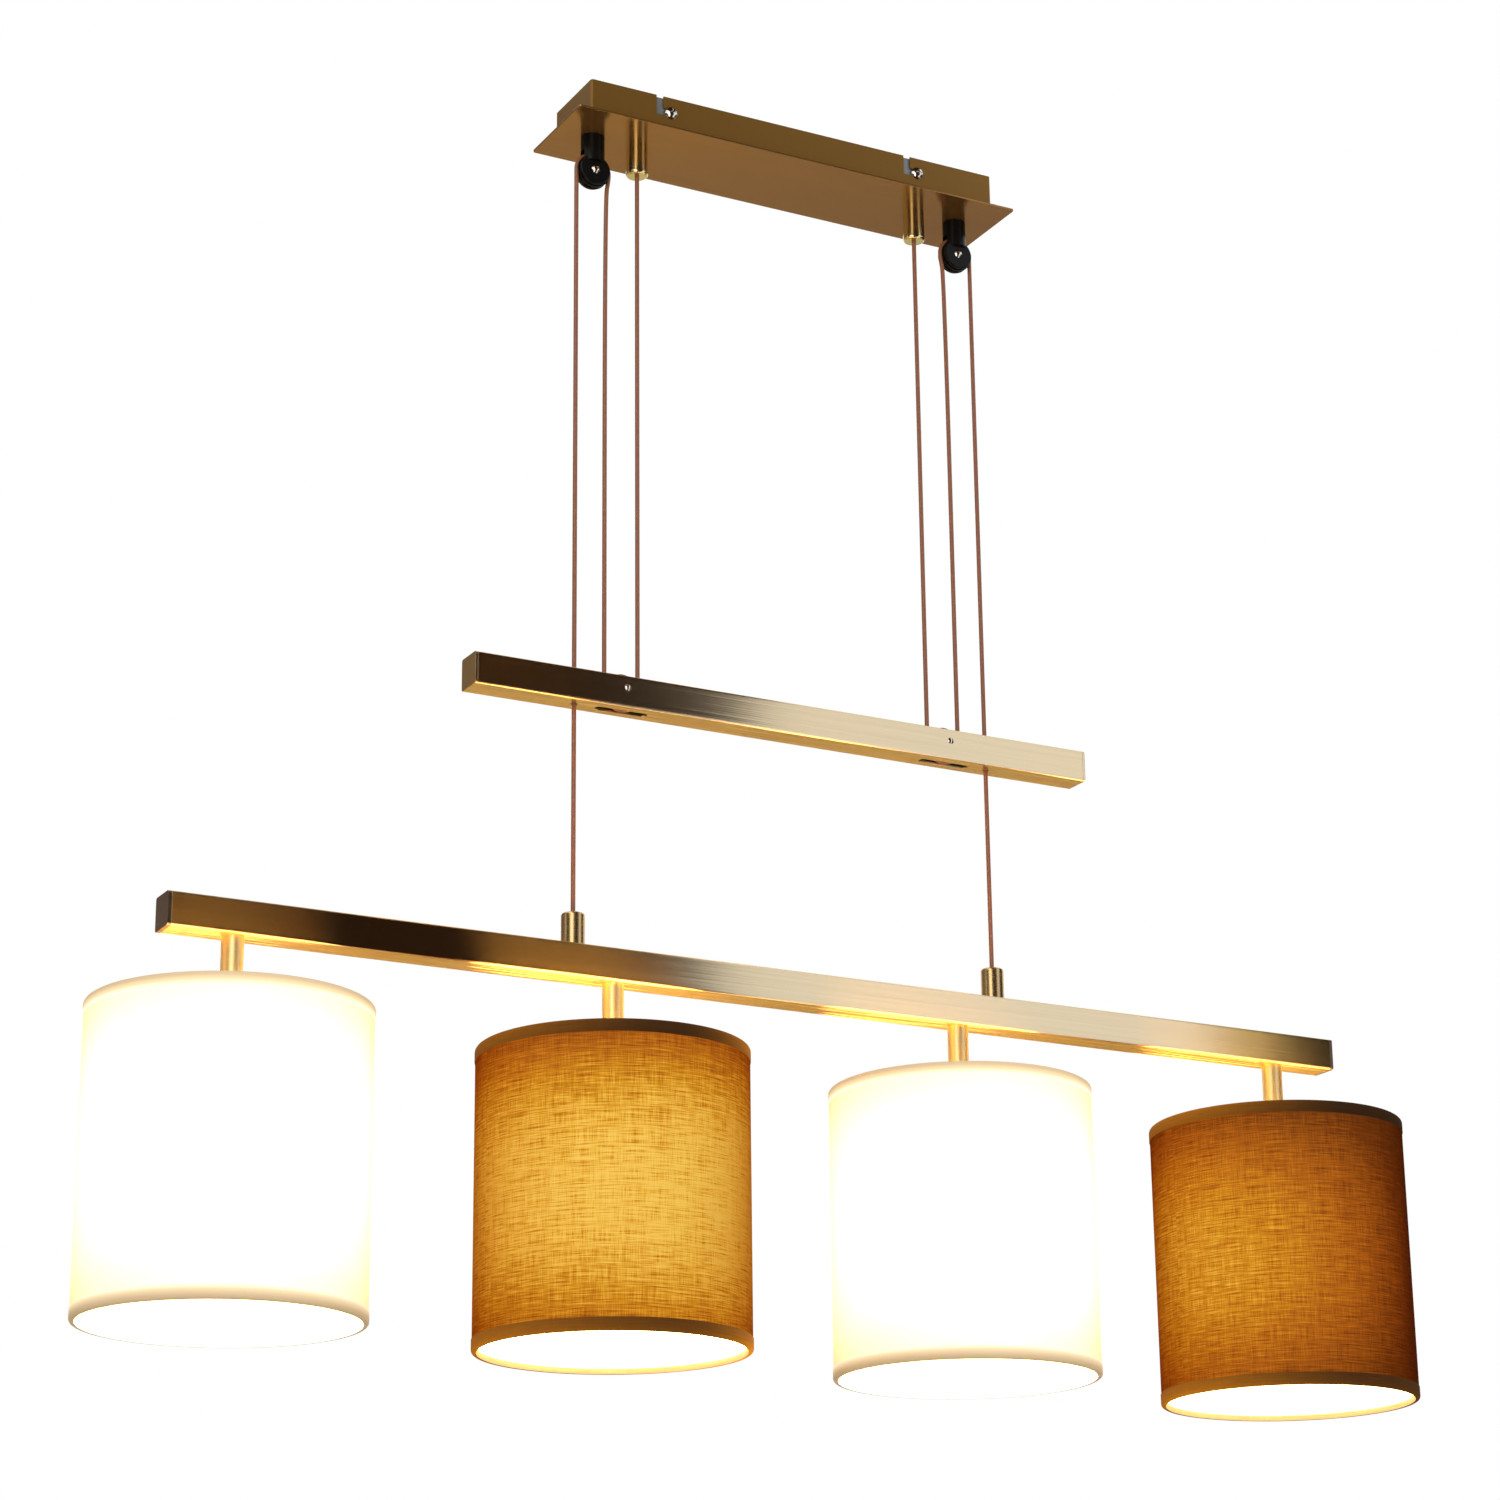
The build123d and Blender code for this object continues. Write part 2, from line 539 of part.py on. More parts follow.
def ballast(start, end):
    """Steel bar lying on the tube's floor, between two places along X."""
    floor = COUNTERWEIGHT_LEVEL - COUNTERWEIGHT_HEIGHT / 2 + COUNTERWEIGHT_WALL
    height = COUNTERWEIGHT_HEIGHT - 2 * COUNTERWEIGHT_WALL - 2 * FIT
    depth = COUNTERWEIGHT_DEPTH - 2 * COUNTERWEIGHT_WALL - 2 * FIT
    bar = chamfer(Box(end - start, depth, height).edges().filter_by(Axis.X), COUNTERWEIGHT_EDGE / 2)
    return Pos((start + end) / 2, 0, floor + height / 2) * bar


def centre_ballast():
    reach = COUNTERWEIGHT_WHEEL_X - WHEEL_SLOT_LENGTH / 2 - BALLAST_MARGIN
    return ballast(-reach, reach)


def end_ballast():
    start = BAR_GLAND_X + CABLE_HOLE_DIAMETER / 2 + BALLAST_MARGIN
    end = COUNTERWEIGHT_LENGTH / 2 - COUNTERWEIGHT_CAP - COUNTERWEIGHT_PLUG - FIT
    return both_sides(ballast(start, end))


def counterweight_axle_pins():
    """Pins across the tube, domed on the front and flush at the back."""
    half = COUNTERWEIGHT_DEPTH / 2
    pin = cross_rod(WHEEL_AXLE, -half, half) + Pos(0, -half, 0) * Rot(X=90) * dome(WHEEL_AXLE, PIN_DOME_HEIGHT)
    return both_sides(Pos(COUNTERWEIGHT_WHEEL_X, 0, COUNTERWEIGHT_WHEEL_LEVEL) * pin)


def lamp_bar():
    """Square tube with holes for the glands above and the stems below."""
    length = BAR_LENGTH - 2 * BAR_CAP - 2 * BAR_CAP_SEAM
    bar = rect_tube(length, BAR_HEIGHT, BAR_DEPTH, BAR_WALL, BAR_EDGE)
    for side in (-1, 1):
        bar -= Pos(side * BAR_GLAND_X, 0, 0) * rod(GLAND_SPIGOT_DIAMETER + 2 * FIT, 0, BAR_HEIGHT)
    for x in STEM_X:
        bar -= Pos(x, 0, 0) * rod(NIPPLE_DIAMETER + 2 * FIT, -BAR_HEIGHT, 0)
    return Pos(0, 0, BAR_MIDDLE) * bar


def bar_cap():
    cap = tube_cap(BAR_HEIGHT, BAR_DEPTH, BAR_WALL, BAR_EDGE, BAR_CAP, BAR_PLUG)
    return Pos(BAR_LENGTH / 2 - BAR_CAP, 0, BAR_MIDDLE) * cap


def bar_gland():
    return Pos(BAR_GLAND_X, 0, BAR_TOP) * Rot(X=180) * gland(BAR_GLAND_HEIGHT, BAR_SPIGOT_LENGTH)


def bar_gland_nuts():
    low = BAR_TOP - BAR_WALL - NUT_THICKNESS
    return both_sides(Pos(BAR_GLAND_X, 0, 0) * nut(GLAND_SPIGOT_DIAMETER + 2 * RUNNING, low))


def stem(x):
    """Brass sleeve between the bar and the lampholder."""
    sleeve = rod(STEM_DIAMETER, HOLDER_TOP, BAR_UNDER) - rod(NIPPLE_DIAMETER + 2 * FIT, HOLDER_TOP, BAR_UNDER)
    return Pos(x, 0, 0) * sleeve


def stem_nipples():
    """Threaded tubes through the stems, from the nuts in the bar into the lampholders."""
    low = HOLDER_TOP - HOLDER_NIPPLE_DEPTH
    nipple = rod(NIPPLE_DIAMETER, low, NIPPLE_TOP) - rod(NIPPLE_BORE, low, NIPPLE_TOP)
    return group([Pos(x, 0, 0) * nipple for x in STEM_X])


def stem_nuts():
    return group([Pos(x, 0, 0) * nut(NIPPLE_DIAMETER + 2 * RUNNING, NUT_LEVEL) for x in STEM_X])


def bar_leads():
    """Leads from each cable's end along the bar and down through the nipples to the lampholders."""
    leads = []
    for x in STEM_X:
        gland_x = math.copysign(BAR_GLAND_X, x)
        start = gland_x + math.copysign(LEAD_DIAMETER / 2, x - gland_x)
        low = HOLDER_TOP - HOLDER_NIPPLE_DEPTH - LEAD_BEND
        points = [(start, 0, BAR_MIDDLE), (x, 0, BAR_MIDDLE), (x, 0, low)]
        leads.append(swept(FilletPolyline(*points, radius=LEAD_BEND), LEAD_DIAMETER))
    return group(leads)


def lampholder(x):
    """Moulded screw lampholder with a shoulder for the shade and a threaded skirt."""
    flange_low = HOLDER_FLANGE_DEPTH + HOLDER_FLANGE_THICKNESS
    socket_top = HOLDER_LENGTH - HOLDER_SOCKET_DEPTH
    nipple_radius = NIPPLE_DIAMETER / 2 + RUNNING
    outline = [
        (nipple_radius, 0),
        (HOLDER_TOP_DIAMETER / 2, 0),
        (HOLDER_SHOULDER_DIAMETER / 2, HOLDER_SHOULDER_DEPTH),
        (HOLDER_SHOULDER_DIAMETER / 2, HOLDER_FLANGE_DEPTH),
        (HOLDER_FLANGE_DIAMETER / 2, HOLDER_FLANGE_DEPTH),
        (HOLDER_FLANGE_DIAMETER / 2, flange_low),
        (HOLDER_SKIRT_DIAMETER / 2, flange_low),
        (HOLDER_SKIRT_DIAMETER / 2, HOLDER_LENGTH),
        (HOLDER_SOCKET_DIAMETER / 2, HOLDER_LENGTH),
        (HOLDER_SOCKET_DIAMETER / 2, socket_top),
        (HOLDER_WIRE_BORE / 2, socket_top),
        (HOLDER_WIRE_BORE / 2, HOLDER_NIPPLE_DEPTH),
        (nipple_radius, HOLDER_NIPPLE_DEPTH),
    ]
    return Pos(x, 0, HOLDER_TOP) * turned([(radius, -depth) for radius, depth in outline])


def shade_clamp_rings():
    """Threaded rings that press each shade's hub against the lampholder's shoulder."""
    high = HUB_UNDER
    low = high - CLAMP_RING_HEIGHT
    ring = rod(CLAMP_RING_DIAMETER, low, high) - rod(HOLDER_SKIRT_DIAMETER + 2 * FIT, low, high)
    return group([Pos(x, 0, 0) * ring for x in STEM_X])


def bulb(x):
    """Globe lamp: a thin glass envelope whose neck sits in a metal screw cap."""
    globe = BULB_DIAMETER / 2
    neck = BULB_NECK_DIAMETER / 2
    inner_globe = globe - BULB_GLASS
    inner_neck = neck - BULB_GLASS
    seat = CAP_DIAMETER / 2 - CAP_WALL - RUNNING
    inner_seat = seat - BULB_GLASS
    rim = -CAP_SHOWING
    shoulder = rim - BULB_NECK_LENGTH
    centre = shoulder - math.sqrt(globe * globe - neck * neck)
    inner_shoulder = centre + math.sqrt(inner_globe * inner_globe - inner_neck * inner_neck)
    outside = Polyline((seat, 0, rim + NECK_SEAT), (seat, 0, rim), (neck, 0, shoulder))
    outside += ThreePointArc((neck, 0, shoulder), (globe, 0, centre), (0, 0, centre - globe))
    pole = Line((0, 0, centre - globe), (0, 0, centre - inner_globe))
    inside = ThreePointArc((0, 0, centre - inner_globe), (inner_globe, 0, centre), (inner_neck, 0, inner_shoulder))
    inside += Polyline((inner_neck, 0, inner_shoulder), (inner_seat, 0, rim), (inner_seat, 0, rim + NECK_SEAT))
    mouth = Line((inner_seat, 0, rim + NECK_SEAT), (seat, 0, rim + NECK_SEAT))
    envelope = revolve(make_face(outside + pole + inside + mouth), Axis.Z)
    cap_outline = [
        (0, CAP_INSERTION),
        (CAP_TIP_DIAMETER / 2, CAP_INSERTION),
        (CAP_DIAMETER / 2, CAP_INSERTION - CAP_TIP_HEIGHT),
        (CAP_DIAMETER / 2, rim),
        (CAP_DIAMETER / 2 - CAP_WALL, rim),
        (CAP_DIAMETER / 2 - CAP_WALL, CAP_INSERTION - CAP_TIP_HEIGHT - CAP_WALL),
        (0, CAP_INSERTION - CAP_TIP_HEIGHT - CAP_WALL),
    ]
    lamp = group([envelope, turned(cap_outline)])
    return Pos(x, 0, HOLDER_MOUTH) * lamp


def shade_frame(x):
    """Top ring of round wire with arms down to the hub."""
    level = (HUB_TOP + HUB_UNDER) / 2
    ring_level = SHADE_TOP - RIM_INSET
    hub_outer = HUB_INNER_RADIUS + HUB_WIDTH
    route = FilletPolyline(
        (hub_outer - HUB_WIDTH / 2, 0, level),
        (ARM_RISE_RADIUS, 0, level),
        (RING_RADIUS, 0, ring_level),
        radius=ARM_BEND,
    )
    arm = swept(route, WIRE_DIAMETER)
    top = Pos(0, 0, ring_level) * Torus(RING_RADIUS, WIRE_DIAMETER / 2)
    top += rod(2 * hub_outer, HUB_UNDER, HUB_TOP)
    for i in range(ARM_COUNT):
        top += Rot(Z=90 + i * 360 / ARM_COUNT) * arm
    top -= rod(2 * HUB_INNER_RADIUS, HUB_UNDER - WIRE_DIAMETER, HUB_TOP + WIRE_DIAMETER)
    top -= rod(CLAMP_RING_DIAMETER + 2 * FIT, HUB_UNDER - WIRE_DIAMETER, HUB_UNDER)
    top -= rod(HOLDER_FLANGE_DIAMETER + 2 * FIT, HUB_TOP, HUB_TOP + WIRE_DIAMETER)
    return Pos(x, 0, 0) * top


def shade_bottom_rings():
    """Wire rings in the lower hems."""
    ring = Pos(0, 0, SHADE_BOTTOM + RIM_INSET) * Torus(RING_RADIUS, WIRE_DIAMETER / 2)
    return group([Pos(x, 0, 0) * ring for x in STEM_X])


def shade(x):
    """Fabric drum, open above and below, with a hem round each rim."""
    outer = SHADE_DIAMETER / 2
    hem = outer + HEM_PROUD
    outline = [
        (SHADE_INNER_RADIUS, SHADE_BOTTOM),
        (hem, SHADE_BOTTOM),
        (hem, SHADE_BOTTOM + HEM_HEIGHT),
        (outer, SHADE_BOTTOM + HEM_HEIGHT),
        (outer, SHADE_TOP - HEM_HEIGHT),
        (hem, SHADE_TOP - HEM_HEIGHT),
        (hem, SHADE_TOP),
        (SHADE_INNER_RADIUS, SHADE_TOP),
    ]
    return Pos(x, 0, 0) * turned(outline)


nodes = {
    "mounting_bracket": mounting_bracket(),
    "canopy_box": canopy_box(),
    "canopy_plate": canopy_plate(),
    "canopy_side_screws": canopy_side_screws(),
    "terminal_block": terminal_block(),
    "terminal_screws": terminal_screws(),
    "earth_screw": earth_screw(),
    "canopy_gland_nuts": canopy_gland_nuts(),
    "pulley_bracket_screws": pulley_bracket_screws(),
    "pulley_axle_screws": pulley_axle_screws(),
    "canopy_leads": canopy_leads(),
    "counterweight_tube": counterweight_tube(),
    "centre_ballast": centre_ballast(),
    "end_ballast": end_ballast(),
    "counterweight_axle_pins": counterweight_axle_pins(),
    "lamp_bar": lamp_bar(),
    "bar_gland_nuts": bar_gland_nuts(),
    "stem_nipples": stem_nipples(),
    "stem_nuts": stem_nuts(),
    "bar_leads": bar_leads(),
    "shade_clamp_rings": shade_clamp_rings(),
    "shade_bottom_rings": shade_bottom_rings(),
}

# Pieces that come as a right-hand and a left-hand twin
twins = {
    "canopy_gland": canopy_gland(),
    "pulley_bracket": pulley_bracket(),
    "canopy_pulley": canopy_pulley(),
    "cable_loop": cable_loop(),
    "cable_drop": cable_drop(),
    "counterweight_cap": counterweight_cap(),
    "counterweight_pulley": counterweight_pulley(),
    "bar_cap": bar_cap(),
    "bar_gland": bar_gland(),
}
for name, piece in twins.items():
    nodes["right_" + name] = piece
    nodes["left_" + name] = left_of(piece)

# Pieces of each light, numbered from the left
lights = {"stem": stem, "lampholder": lampholder, "bulb": bulb, "shade_frame": shade_frame, "shade": shade}
for name, make in lights.items():
    for number, x in enumerate(STEM_X, start=1):
        nodes[f"{name}_{number}"] = make(x)

section = math.pi * CABLE_DIAMETER**2 / 4
for name in ("cable_loop", "cable_drop"):
    print(name, "length", round(twins[name].volume / section, 1), "wheel radius", WHEEL_PITCH_RADIUS)

os.makedirs("parts", exist_ok=True)
for name, piece in nodes.items():
    export_step(piece, f"parts/{name}.step")
print(len(nodes), "nodes")
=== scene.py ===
import math

import bmesh
import bpy
from mathutils import Matrix, Vector


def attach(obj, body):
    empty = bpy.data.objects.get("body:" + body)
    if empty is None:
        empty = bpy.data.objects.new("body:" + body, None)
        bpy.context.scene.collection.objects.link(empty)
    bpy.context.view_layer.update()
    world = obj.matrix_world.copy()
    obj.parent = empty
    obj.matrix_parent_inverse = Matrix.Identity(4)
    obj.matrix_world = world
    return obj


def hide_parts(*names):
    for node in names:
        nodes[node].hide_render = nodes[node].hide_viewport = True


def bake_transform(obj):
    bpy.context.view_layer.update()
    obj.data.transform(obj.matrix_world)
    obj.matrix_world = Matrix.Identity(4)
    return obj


# A rise-and-fall dining pendant in antique brass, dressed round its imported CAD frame. Metres, +Z up, the
# ceiling is z = 0, X runs along the bars and the front faces -Y.
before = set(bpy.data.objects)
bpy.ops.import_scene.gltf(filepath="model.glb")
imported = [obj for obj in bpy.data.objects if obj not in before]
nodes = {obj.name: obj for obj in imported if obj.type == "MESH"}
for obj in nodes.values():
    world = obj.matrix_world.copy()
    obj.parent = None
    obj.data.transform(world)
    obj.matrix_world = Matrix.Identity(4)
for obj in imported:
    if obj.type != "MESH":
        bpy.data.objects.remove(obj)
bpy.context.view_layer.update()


# Mounting bracket: a zinc-plated steel strip, screwed to the ceiling through two slots. Its turned-down ears
# take the canopy's side screws, and the earth screw and the pulley posts' screws share its zinc.


class Paint:
    """A value in a material's node tree. Sums of such values add Math nodes."""

    def __init__(self, tree, socket=None):
        self.tree = tree
        self.socket = socket

    def node(self, kind, settings=None, sockets=None, output=0):
        """Adds a node of a type: first its settings, then the values or links of its sockets."""
        added = self.tree.nodes.new(kind)
        for key, value in (settings or {}).items():
            if key == "stops":
                stops = added.color_ramp.elements
                stops[0].position, stops[0].color = value[0]
                stops[1].position, stops[1].color = value[-1]
                for place, colour in value[1:-1]:
                    stops.new(place).color = colour
            else:
                setattr(added, key, value)
        for key, value in (sockets or {}).items():
            self.plug(value, added.inputs[key])
        return Paint(self.tree, added.outputs[output])

    def plug(self, value, socket):
        """Links a painted value to a socket, or sets a plain one on it."""
        if isinstance(value, Paint):
            self.tree.links.new(value.socket, socket)
        else:
            socket.default_value = value

    def dress(self, sockets):
        """Sets or links sockets of the material's Principled shader."""
        shader = self.tree.nodes["Principled BSDF"]
        for key, value in sockets.items():
            self.plug(value, shader.inputs[key])

    def math(self, operation, *values):
        return self.node("ShaderNodeMath", {"operation": operation}, dict(enumerate(values)))

    def __add__(self, other):
        return self.math("ADD", self, other)

    def __radd__(self, other):
        return self.math("ADD", other, self)

    def __sub__(self, other):
        return self.math("SUBTRACT", self, other)

    def __rsub__(self, other):
        return self.math("SUBTRACT", other, self)

    def __mul__(self, other):
        return self.math("MULTIPLY", self, other)

    def __rmul__(self, other):
        return self.math("MULTIPLY", other, self)

    def __truediv__(self, other):
        return self.math("DIVIDE", self, other)


def new_finish(name):
    """An empty Principled material and its tree to paint with."""
    material = bpy.data.materials.new(name)
    material.use_nodes = True
    return material, Paint(material.node_tree)


def grain(paint, waves, detail=3.0):
    """Soft noise from 0 to 1 on Object coordinates, with so many waves to the metre along X, Y and Z."""
    place = paint.node("ShaderNodeTexCoord", output="Object")
    place = paint.node("ShaderNodeMapping", None, {"Vector": place, "Scale": waves})
    return paint.node("ShaderNodeTexNoise", None, {"Vector": place, "Scale": 1.0, "Detail": detail})


def blend(paint, mask, low, high):
    """Colour that goes from low to high with a mask, on the Mix node's colour sockets."""
    return paint.node("ShaderNodeMix", {"data_type": "RGBA"}, {0: mask, 6: low, 7: high}, output=2)


def paint_nodes(material, *names):
    """Gives CAD nodes a finish."""
    for name in names:
        nodes[name].data.materials.clear()
        nodes[name].data.materials.append(material)


# Painted shade: the zinc's colour is darker than bright zinc, for where it lies in the canopy's shadow.
zinc, paint = new_finish("zinc_plate")
spangle = grain(paint, waves=(300, 300, 300))
paint.dress(
    {
        "Base Color": blend(paint, spangle, low=(0.22, 0.23, 0.235, 1), high=(0.32, 0.33, 0.335, 1)),
        "Metallic": 0.6,
        "Roughness": 0.34 + 0.2 * spangle,
    }
)
paint_nodes(zinc, "mounting_bracket", "earth_screw", "pulley_bracket_screws")


# Terminal block: a moulded connector under the bracket, with slotted brass clamp screws. The cables' tails
# run to it from the glands, in the same sheath as the leads inside the lamp bar. The nuts and nipples share
# the screws' brass.
moulding, paint = new_finish("terminal_moulding")
speckle = grain(paint, waves=(900, 900, 900))
paint.dress(
    {
        "Base Color": blend(paint, speckle, low=(0.74, 0.73, 0.69, 1), high=(0.84, 0.83, 0.79, 1)),
        "Roughness": 0.45 + 0.1 * speckle,
    }
)
paint_nodes(moulding, "terminal_block")

turned_brass, paint = new_finish("turned_brass")
marks = grain(paint, waves=(200, 200, 2500))
paint.dress(
    {
        "Base Color": blend(paint, marks, low=(0.66, 0.46, 0.16, 1), high=(0.80, 0.60, 0.26, 1)),
        "Metallic": 1.0,
        "Roughness": 0.25 + 0.2 * marks,
    }
)
paint_nodes(turned_brass, "terminal_screws", "canopy_gland_nuts")
paint_nodes(turned_brass, "bar_gland_nuts", "stem_nuts", "stem_nipples")

lead_sheath, paint = new_finish("lead_sheath")
smear = grain(paint, waves=(400, 400, 400))
paint.dress(
    {
        "Base Color": blend(paint, smear, low=(0.26, 0.12, 0.06, 1), high=(0.36, 0.18, 0.10, 1)),
        "Roughness": 0.4 + 0.15 * smear,
    }
)
paint_nodes(lead_sheath, "canopy_leads", "bar_leads")


# Canopy box: a folded brass tray, open towards the ceiling, with bayonet slots in its long walls. Its
# outside has a matt antique finish with a faint vertical brushing.
BROKEN_EDGE = 0.0004


def bumped(paint, height, strength, depth):
    """Normal with a relief of so many metres, over edges that are slightly broken."""
    edge = paint.node("ShaderNodeBevel", {"samples": 4}, {"Radius": BROKEN_EDGE})
    sockets = {"Height": height, "Strength": strength, "Distance": depth, "Normal": edge}
    return paint.node("ShaderNodeBump", None, sockets)


antique_brass, paint = new_finish("antique_brass")
cloud = grain(paint, waves=(9, 9, 14), detail=2.0)
brushing = grain(paint, waves=(1400, 1400, 30))
tone = 0.6 * cloud + 0.4 * brushing
paint.dress(
    {
        "Base Color": blend(paint, tone, low=(0.185, 0.088, 0.011, 1), high=(0.245, 0.12, 0.016, 1)),
        "Metallic": 0.5,
        "Roughness": 0.42 + 0.12 * brushing,
        "Normal": bumped(paint, brushing, strength=0.15, depth=0.0001),
    }
)
paint_nodes(antique_brass, "canopy_box")


# Canopy plate: a larger brass plate under the tray, polished and lacquered, in which the posts and glands
# mirror. Fine lengthwise streaks are left from the polishing, and painted shade darkens it to the right.
PAINTED_SHADE_AT_MIDDLE = 0.15
PAINTED_SHADE_FALL = 1.5


def position(paint, axis):
    """Place along X, Y or Z in metres."""
    place = paint.node("ShaderNodeTexCoord", output="Object")
    return paint.node("ShaderNodeSeparateXYZ", None, {0: place}, output=axis)


plate_brass, paint = new_finish("lacquered_plate")
streaks = grain(paint, waves=(14, 900, 900))
# Painted shade: the plate's colour darkens from left to right along X.
tone = 0.7 * streaks + PAINTED_SHADE_AT_MIDDLE - PAINTED_SHADE_FALL * position(paint, "X")
paint.dress(
    {
        "Base Color": blend(paint, tone, low=(0.28, 0.138, 0.042, 1), high=(0.43, 0.226, 0.062, 1)),
        "Metallic": 0.8,
        "Roughness": 0.12 + 0.08 * streaks,
        "Normal": bumped(paint, streaks, strength=0.05, depth=0.0001),
    }
)
paint_nodes(plate_brass, "canopy_plate")


# Side screws, axle screws and pins: bright nickel-plated steel. The side screws hold the tray on the
# bracket, the axle screws carry the canopy wheels and the pins the counterweight's wheels.
nickel, paint = new_finish("bright_nickel")
polish = grain(paint, waves=(500, 500, 500))
paint.dress(
    {
        "Base Color": blend(paint, polish, low=(0.74, 0.69, 0.60, 1), high=(0.86, 0.81, 0.72, 1)),
        "Metallic": 1.0,
        "Roughness": 0.12 + 0.1 * polish,
    }
)
paint_nodes(nickel, "canopy_side_screws", "pulley_axle_screws", "counterweight_axle_pins")


# Cable glands: turned and polished brass cylinders, bored for the cable. A nut inside holds each one, under
# the canopy plate or on top of the lamp bar. Under the plate it is painted paler, as painted highlight.
GLANDS = (
    # Painted highlight: the canopy row's brass is paler and brighter than the bar row's, the same real
    # brass.
    {"place": "canopy", "roughness": 0.16, "low": (0.80, 0.73, 0.40, 1), "high": (0.90, 0.83, 0.50, 1)},
    {"place": "bar", "roughness": 0.24, "low": (0.64, 0.43, 0.19, 1), "high": (0.74, 0.53, 0.26, 1)},
)
for gland in GLANDS:
    gland_brass_with_painted_light, paint = new_finish(f"{gland['place']}_gland_brass_with_painted_light")
    lathe_lines = grain(paint, waves=(60, 60, 3000))
    paint.dress(
        {
            "Base Color": blend(paint, lathe_lines, gland["low"], gland["high"]),
            "Metallic": 1.0,
            "Roughness": gland["roughness"] + 0.08 * lathe_lines,
        }
    )
    paint_nodes(gland_brass_with_painted_light, f"left_{gland['place']}_gland", f"right_{gland['place']}_gland")


# Pulley brackets and wheels: glossy black moulded nylon. A post with a round forked head is screwed up under
# each end of the canopy, and the same grooved wheel runs in the heads and inside the counterweight.
black_nylon, paint = new_finish("black_nylon")
flow = grain(paint, waves=(220, 220, 220))
paint.dress(
    {
        "Base Color": blend(paint, flow, low=(0.003, 0.003, 0.003, 1), high=(0.008, 0.008, 0.007, 1)),
        "Roughness": 0.16 + 0.1 * flow,
        "Specular IOR Level": 0.12,
        "Normal": bumped(paint, flow, strength=0.03, depth=0.0005),
    }
)
for side in ("left", "right"):
    for piece in ("pulley_bracket", "canopy_pulley", "counterweight_pulley"):
        paint_nodes(black_nylon, f"{side}_{piece}")


# Cables: thin copper-brown sheathed cable, one on each side, taut under the lamp's weight. It comes out of
# the canopy gland, goes round the counterweight's wheel and over the canopy wheel, and down through the
# counterweight into the lamp bar. It is drawn in two stretches that meet on top of the canopy wheel.
CABLE = 0.0028
WHEEL_PITCH = 0.0112
CANOPY_WHEEL = Vector((0.133, 0, -0.050))
WEIGHT_WHEEL = Vector((0.113, 0, -0.3938))
CANOPY_EXIT = -0.018
BAR_END = -0.5648
STRAIGHT = 6 * CABLE
# Corners that the line goes round on a wheel, across and up from its axle in pitch radii. It touches the
# pitch circle between them.
UNDER_WEIGHT_WHEEL = (
    (-1, 0.268),
    (-1, -0.268),
    (-0.732, -0.732),
    (-0.268, -1),
    (0.268, -1),
    (0.732, -0.732),
    (1, -0.268),
    (1, 0.268),
)
UP_CANOPY_WHEEL = ((-1, -0.268), (-1, 0.268), (-0.732, 0.732), (-0.268, 1), (0, 1))
DOWN_CANOPY_WHEEL = ((0, 1), (0.268, 1), (0.732, 0.732), (1, 0.268), (1, -0.268))
# Steps along each span of the spline, and round the tube.
LINE_STEPS = 8
ROUND_STEPS = 3

sheath, paint = new_finish("copper_sheath")
twist = grain(paint, waves=(900, 900, 260))
paint.dress(
    {
        "Base Color": blend(paint, twist, low=(0.18, 0.061, 0.027, 1), high=(0.28, 0.109, 0.052, 1)),
        "Roughness": 0.3 + 0.2 * twist,
        "Normal": bumped(paint, twist, strength=0.2, depth=0.0001),
    }
)


def on_wheel(axle, corners):
    """Places of a route's corners on a wheel."""
    return [axle + WHEEL_PITCH * Vector((across, 0, up)) for across, up in corners]


def taut_cable(name, route):
    """Tube along a route's NURBS spline, which takes the place of the CAD cable."""
    curve = bpy.data.curves.new(name, "CURVE")
    curve.dimensions = "3D"
    spline = curve.splines.new("NURBS")
    spline.points.add(len(route) - 1)
    for point, place in zip(spline.points, route):
        point.co = (*place, 1)
    spline.order_u = 3
    spline.use_endpoint_u = True
    spline.resolution_u = LINE_STEPS
    line = bpy.data.objects.new(name + "_line", curve)
    path = [vertex.co.copy() for vertex in bpy.data.meshes.new_from_object(line).vertices]
    curve.bevel_depth = CABLE / 2
    curve.bevel_resolution = ROUND_STEPS
    curve.use_fill_caps = True
    cable = bpy.data.objects.new(name + "_sheath", bpy.data.meshes.new_from_object(line))
    bpy.data.objects.remove(line)
    bpy.context.scene.collection.objects.link(cable)
    for face in cable.data.polygons:
        face.use_smooth = True
    cable.data.materials.append(sheath)
    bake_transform(cable)
    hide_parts(name)


